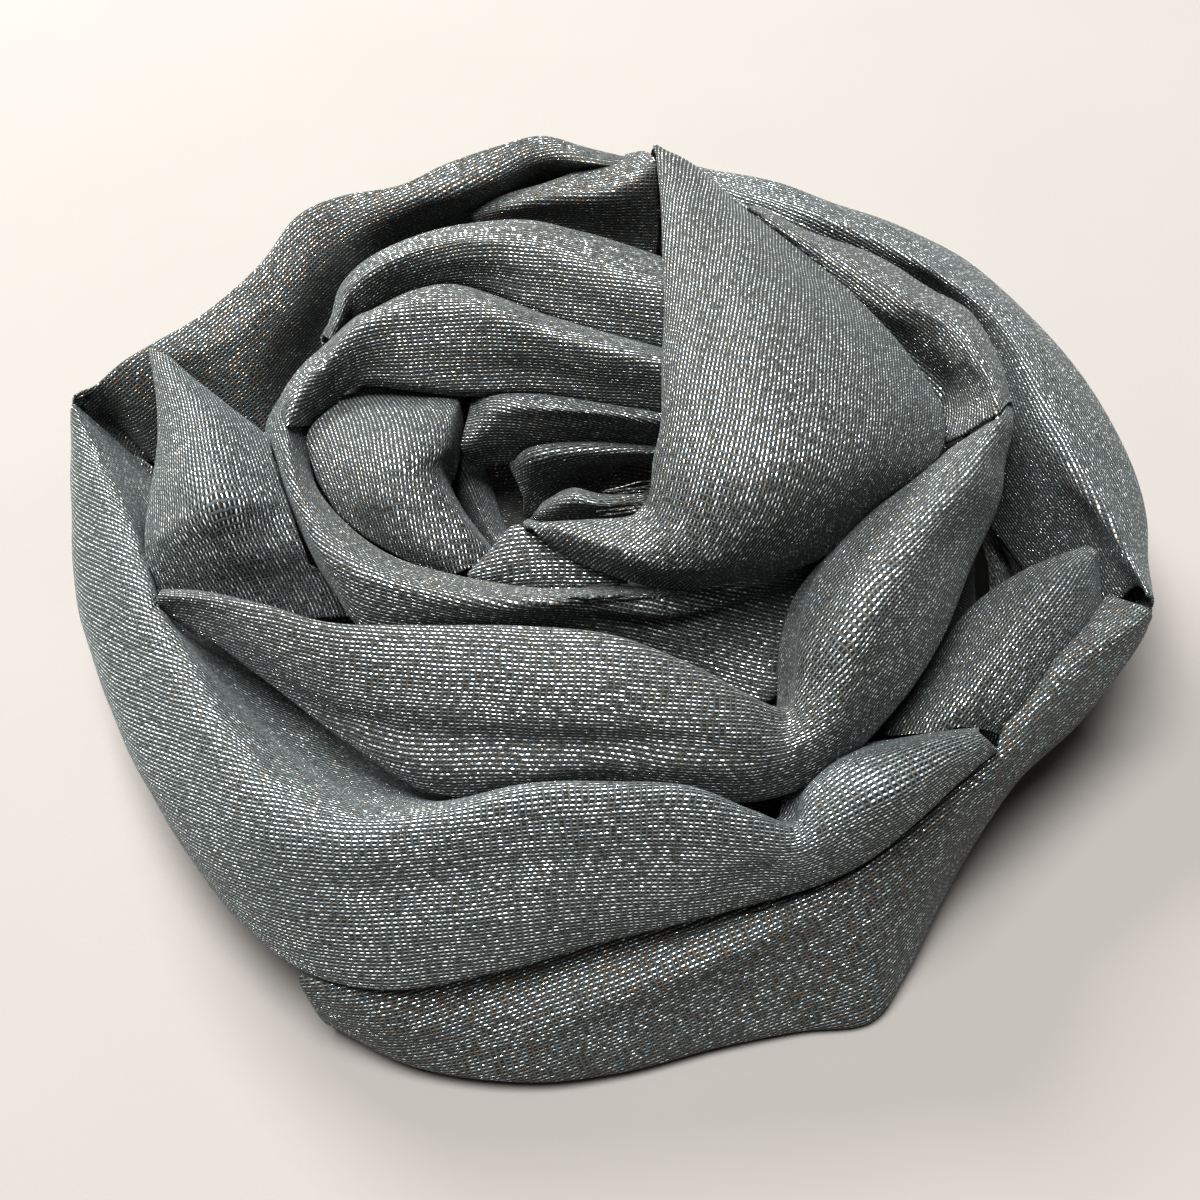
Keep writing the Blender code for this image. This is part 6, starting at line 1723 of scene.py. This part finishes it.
# Loose threads at the cut end of the cloth: from under the petal out over the curl.
STRANDS = (
    ((7.2, 8.0, 38.0), (5.4, 7.2, 38.8), (3.0, 7.1, 37.9), (0.6, 7.2, 37.0)),
    ((7.2, 7.3, 38.1), (5.4, 5.7, 39.4), (3.2, 6.3, 38.3), (1.0, 6.9, 37.4)),
    ((7.2, 7.3, 38.0), (5.4, 6.4, 38.4), (4.0, 5.3, 38.8), (2.7, 6.4, 37.2)),
    ((7.2, 6.4, 38.4), (5.4, 6.0, 38.9), (2.8, 6.3, 38.0), (0.2, 6.7, 37.3)),
    ((7.2, 6.1, 38.4), (5.4, 5.1, 39.3), (3.6, 5.9, 38.2), (1.7, 5.7, 37.8)),
    ((7.2, 6.4, 37.8), (5.4, 5.3, 38.4), (3.3, 5.0, 38.2), (1.1, 5.2, 37.9)),
    ((7.2, 5.9, 38.0), (5.4, 4.4, 39.1), (2.6, 4.5, 38.4), (-0.2, 5.2, 37.1)),
    ((7.2, 5.0, 38.3), (5.4, 3.9, 39.3), (3.8, 4.4, 38.3), (2.1, 4.1, 37.8)),
    ((7.1, 4.6, 38.6), (5.4, 3.5, 39.2), (2.8, 4.0, 38.0), (0.3, 4.0, 37.7)),
    ((7.2, 4.2, 38.2), (5.4, 3.3, 38.7), (3.3, 4.0, 37.8), (1.1, 4.0, 37.4)),
    ((7.2, 4.0, 38.1), (5.4, 3.0, 38.5), (2.4, 3.0, 38.0), (-0.5, 3.3, 37.3)),
    ((7.2, 4.1, 37.9), (5.4, 3.1, 38.6), (2.5, 2.7, 38.5), (-0.4, 3.4, 37.0)),
    ((7.1, 3.2, 37.8), (5.4, 2.8, 38.5), (3.3, 2.2, 38.9), (1.3, 2.8, 37.9)),
    ((7.1, 2.6, 38.5), (5.4, 1.8, 39.3), (3.0, 2.0, 38.5), (0.7, 2.4, 37.7)),
    ((7.1, 2.7, 37.8), (5.4, 2.2, 38.5), (2.6, 2.2, 38.0), (-0.1, 2.7, 37.0)),
    ((7.1, 2.3, 38.1), (5.4, 1.5, 38.8), (2.7, 0.9, 38.7), (0.1, 1.3, 37.9)),
)


@dataclass
class Rosette:
    """The wound scarf: its core and its stretches, in the order in which they lie."""

    stretches: tuple[ClothStretch, ...]
    frayed: FrayedEdge
    core: WoundCore = field(default_factory=WoundCore)
    pile: ClothPile = field(default_factory=ClothPile)

    def build(self, nodes: dict) -> None:
        """Build and dress every piece.

        Args:
            nodes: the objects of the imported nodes, by name.
        """
        materials = {slot: finish.material() for slot, finish in FINISHES.items()}
        core = self.core.build(nodes["wound_core"], self.pile)
        # The core takes the copy of the weave with deep painted shade.
        self.register(core, "wound_core", Slot.INNER, materials)
        pieces = {"core": [core]}
        for stretch in self.stretches:
            piece = stretch.build(self.pile)
            self.register(piece, stretch.node, SLOTS.get(stretch.node, Slot.CLOTH), materials)
            pieces.setdefault(stretch.part_of or stretch.node, []).append(piece)
            width, length = stretch.flat_size
            LOG.info("%s: strip %.1f x %.1f mm", piece.name, width / MM, length / MM)
        threads = self.frayed.build()
        # The loose threads take the copy with painted shade and painted warm reflections.
        self.dress(threads, Slot.SHADE, materials)
        pieces["big_petal"].append(threads)
        pieces["front_band_outer"] += pieces.pop("core")

    def register(self, piece: bpy.types.Object, node: str, slot: Slot, materials: dict) -> None:
        self.dress(piece, slot, materials)
        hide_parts(node)

    def dress(self, piece: bpy.types.Object, slot: Slot, materials: dict) -> None:
        """Give a piece its finish, and let it ride on the scarf."""
        FINISHES[slot].dress(piece, materials[slot])
        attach(piece, BODY)


def main() -> None:
    """Build the scarf and its studio."""
    logging.basicConfig(level=logging.INFO, format="%(name)s: %(message)s")
    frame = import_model()
    nodes = {name: bpy.data.objects[name] for name in frame["nodes"]}
    Rosette(STRETCHES, FrayedEdge(STRANDS)).build(nodes)
    Studio().build()


if __name__ == "__main__":
    main()
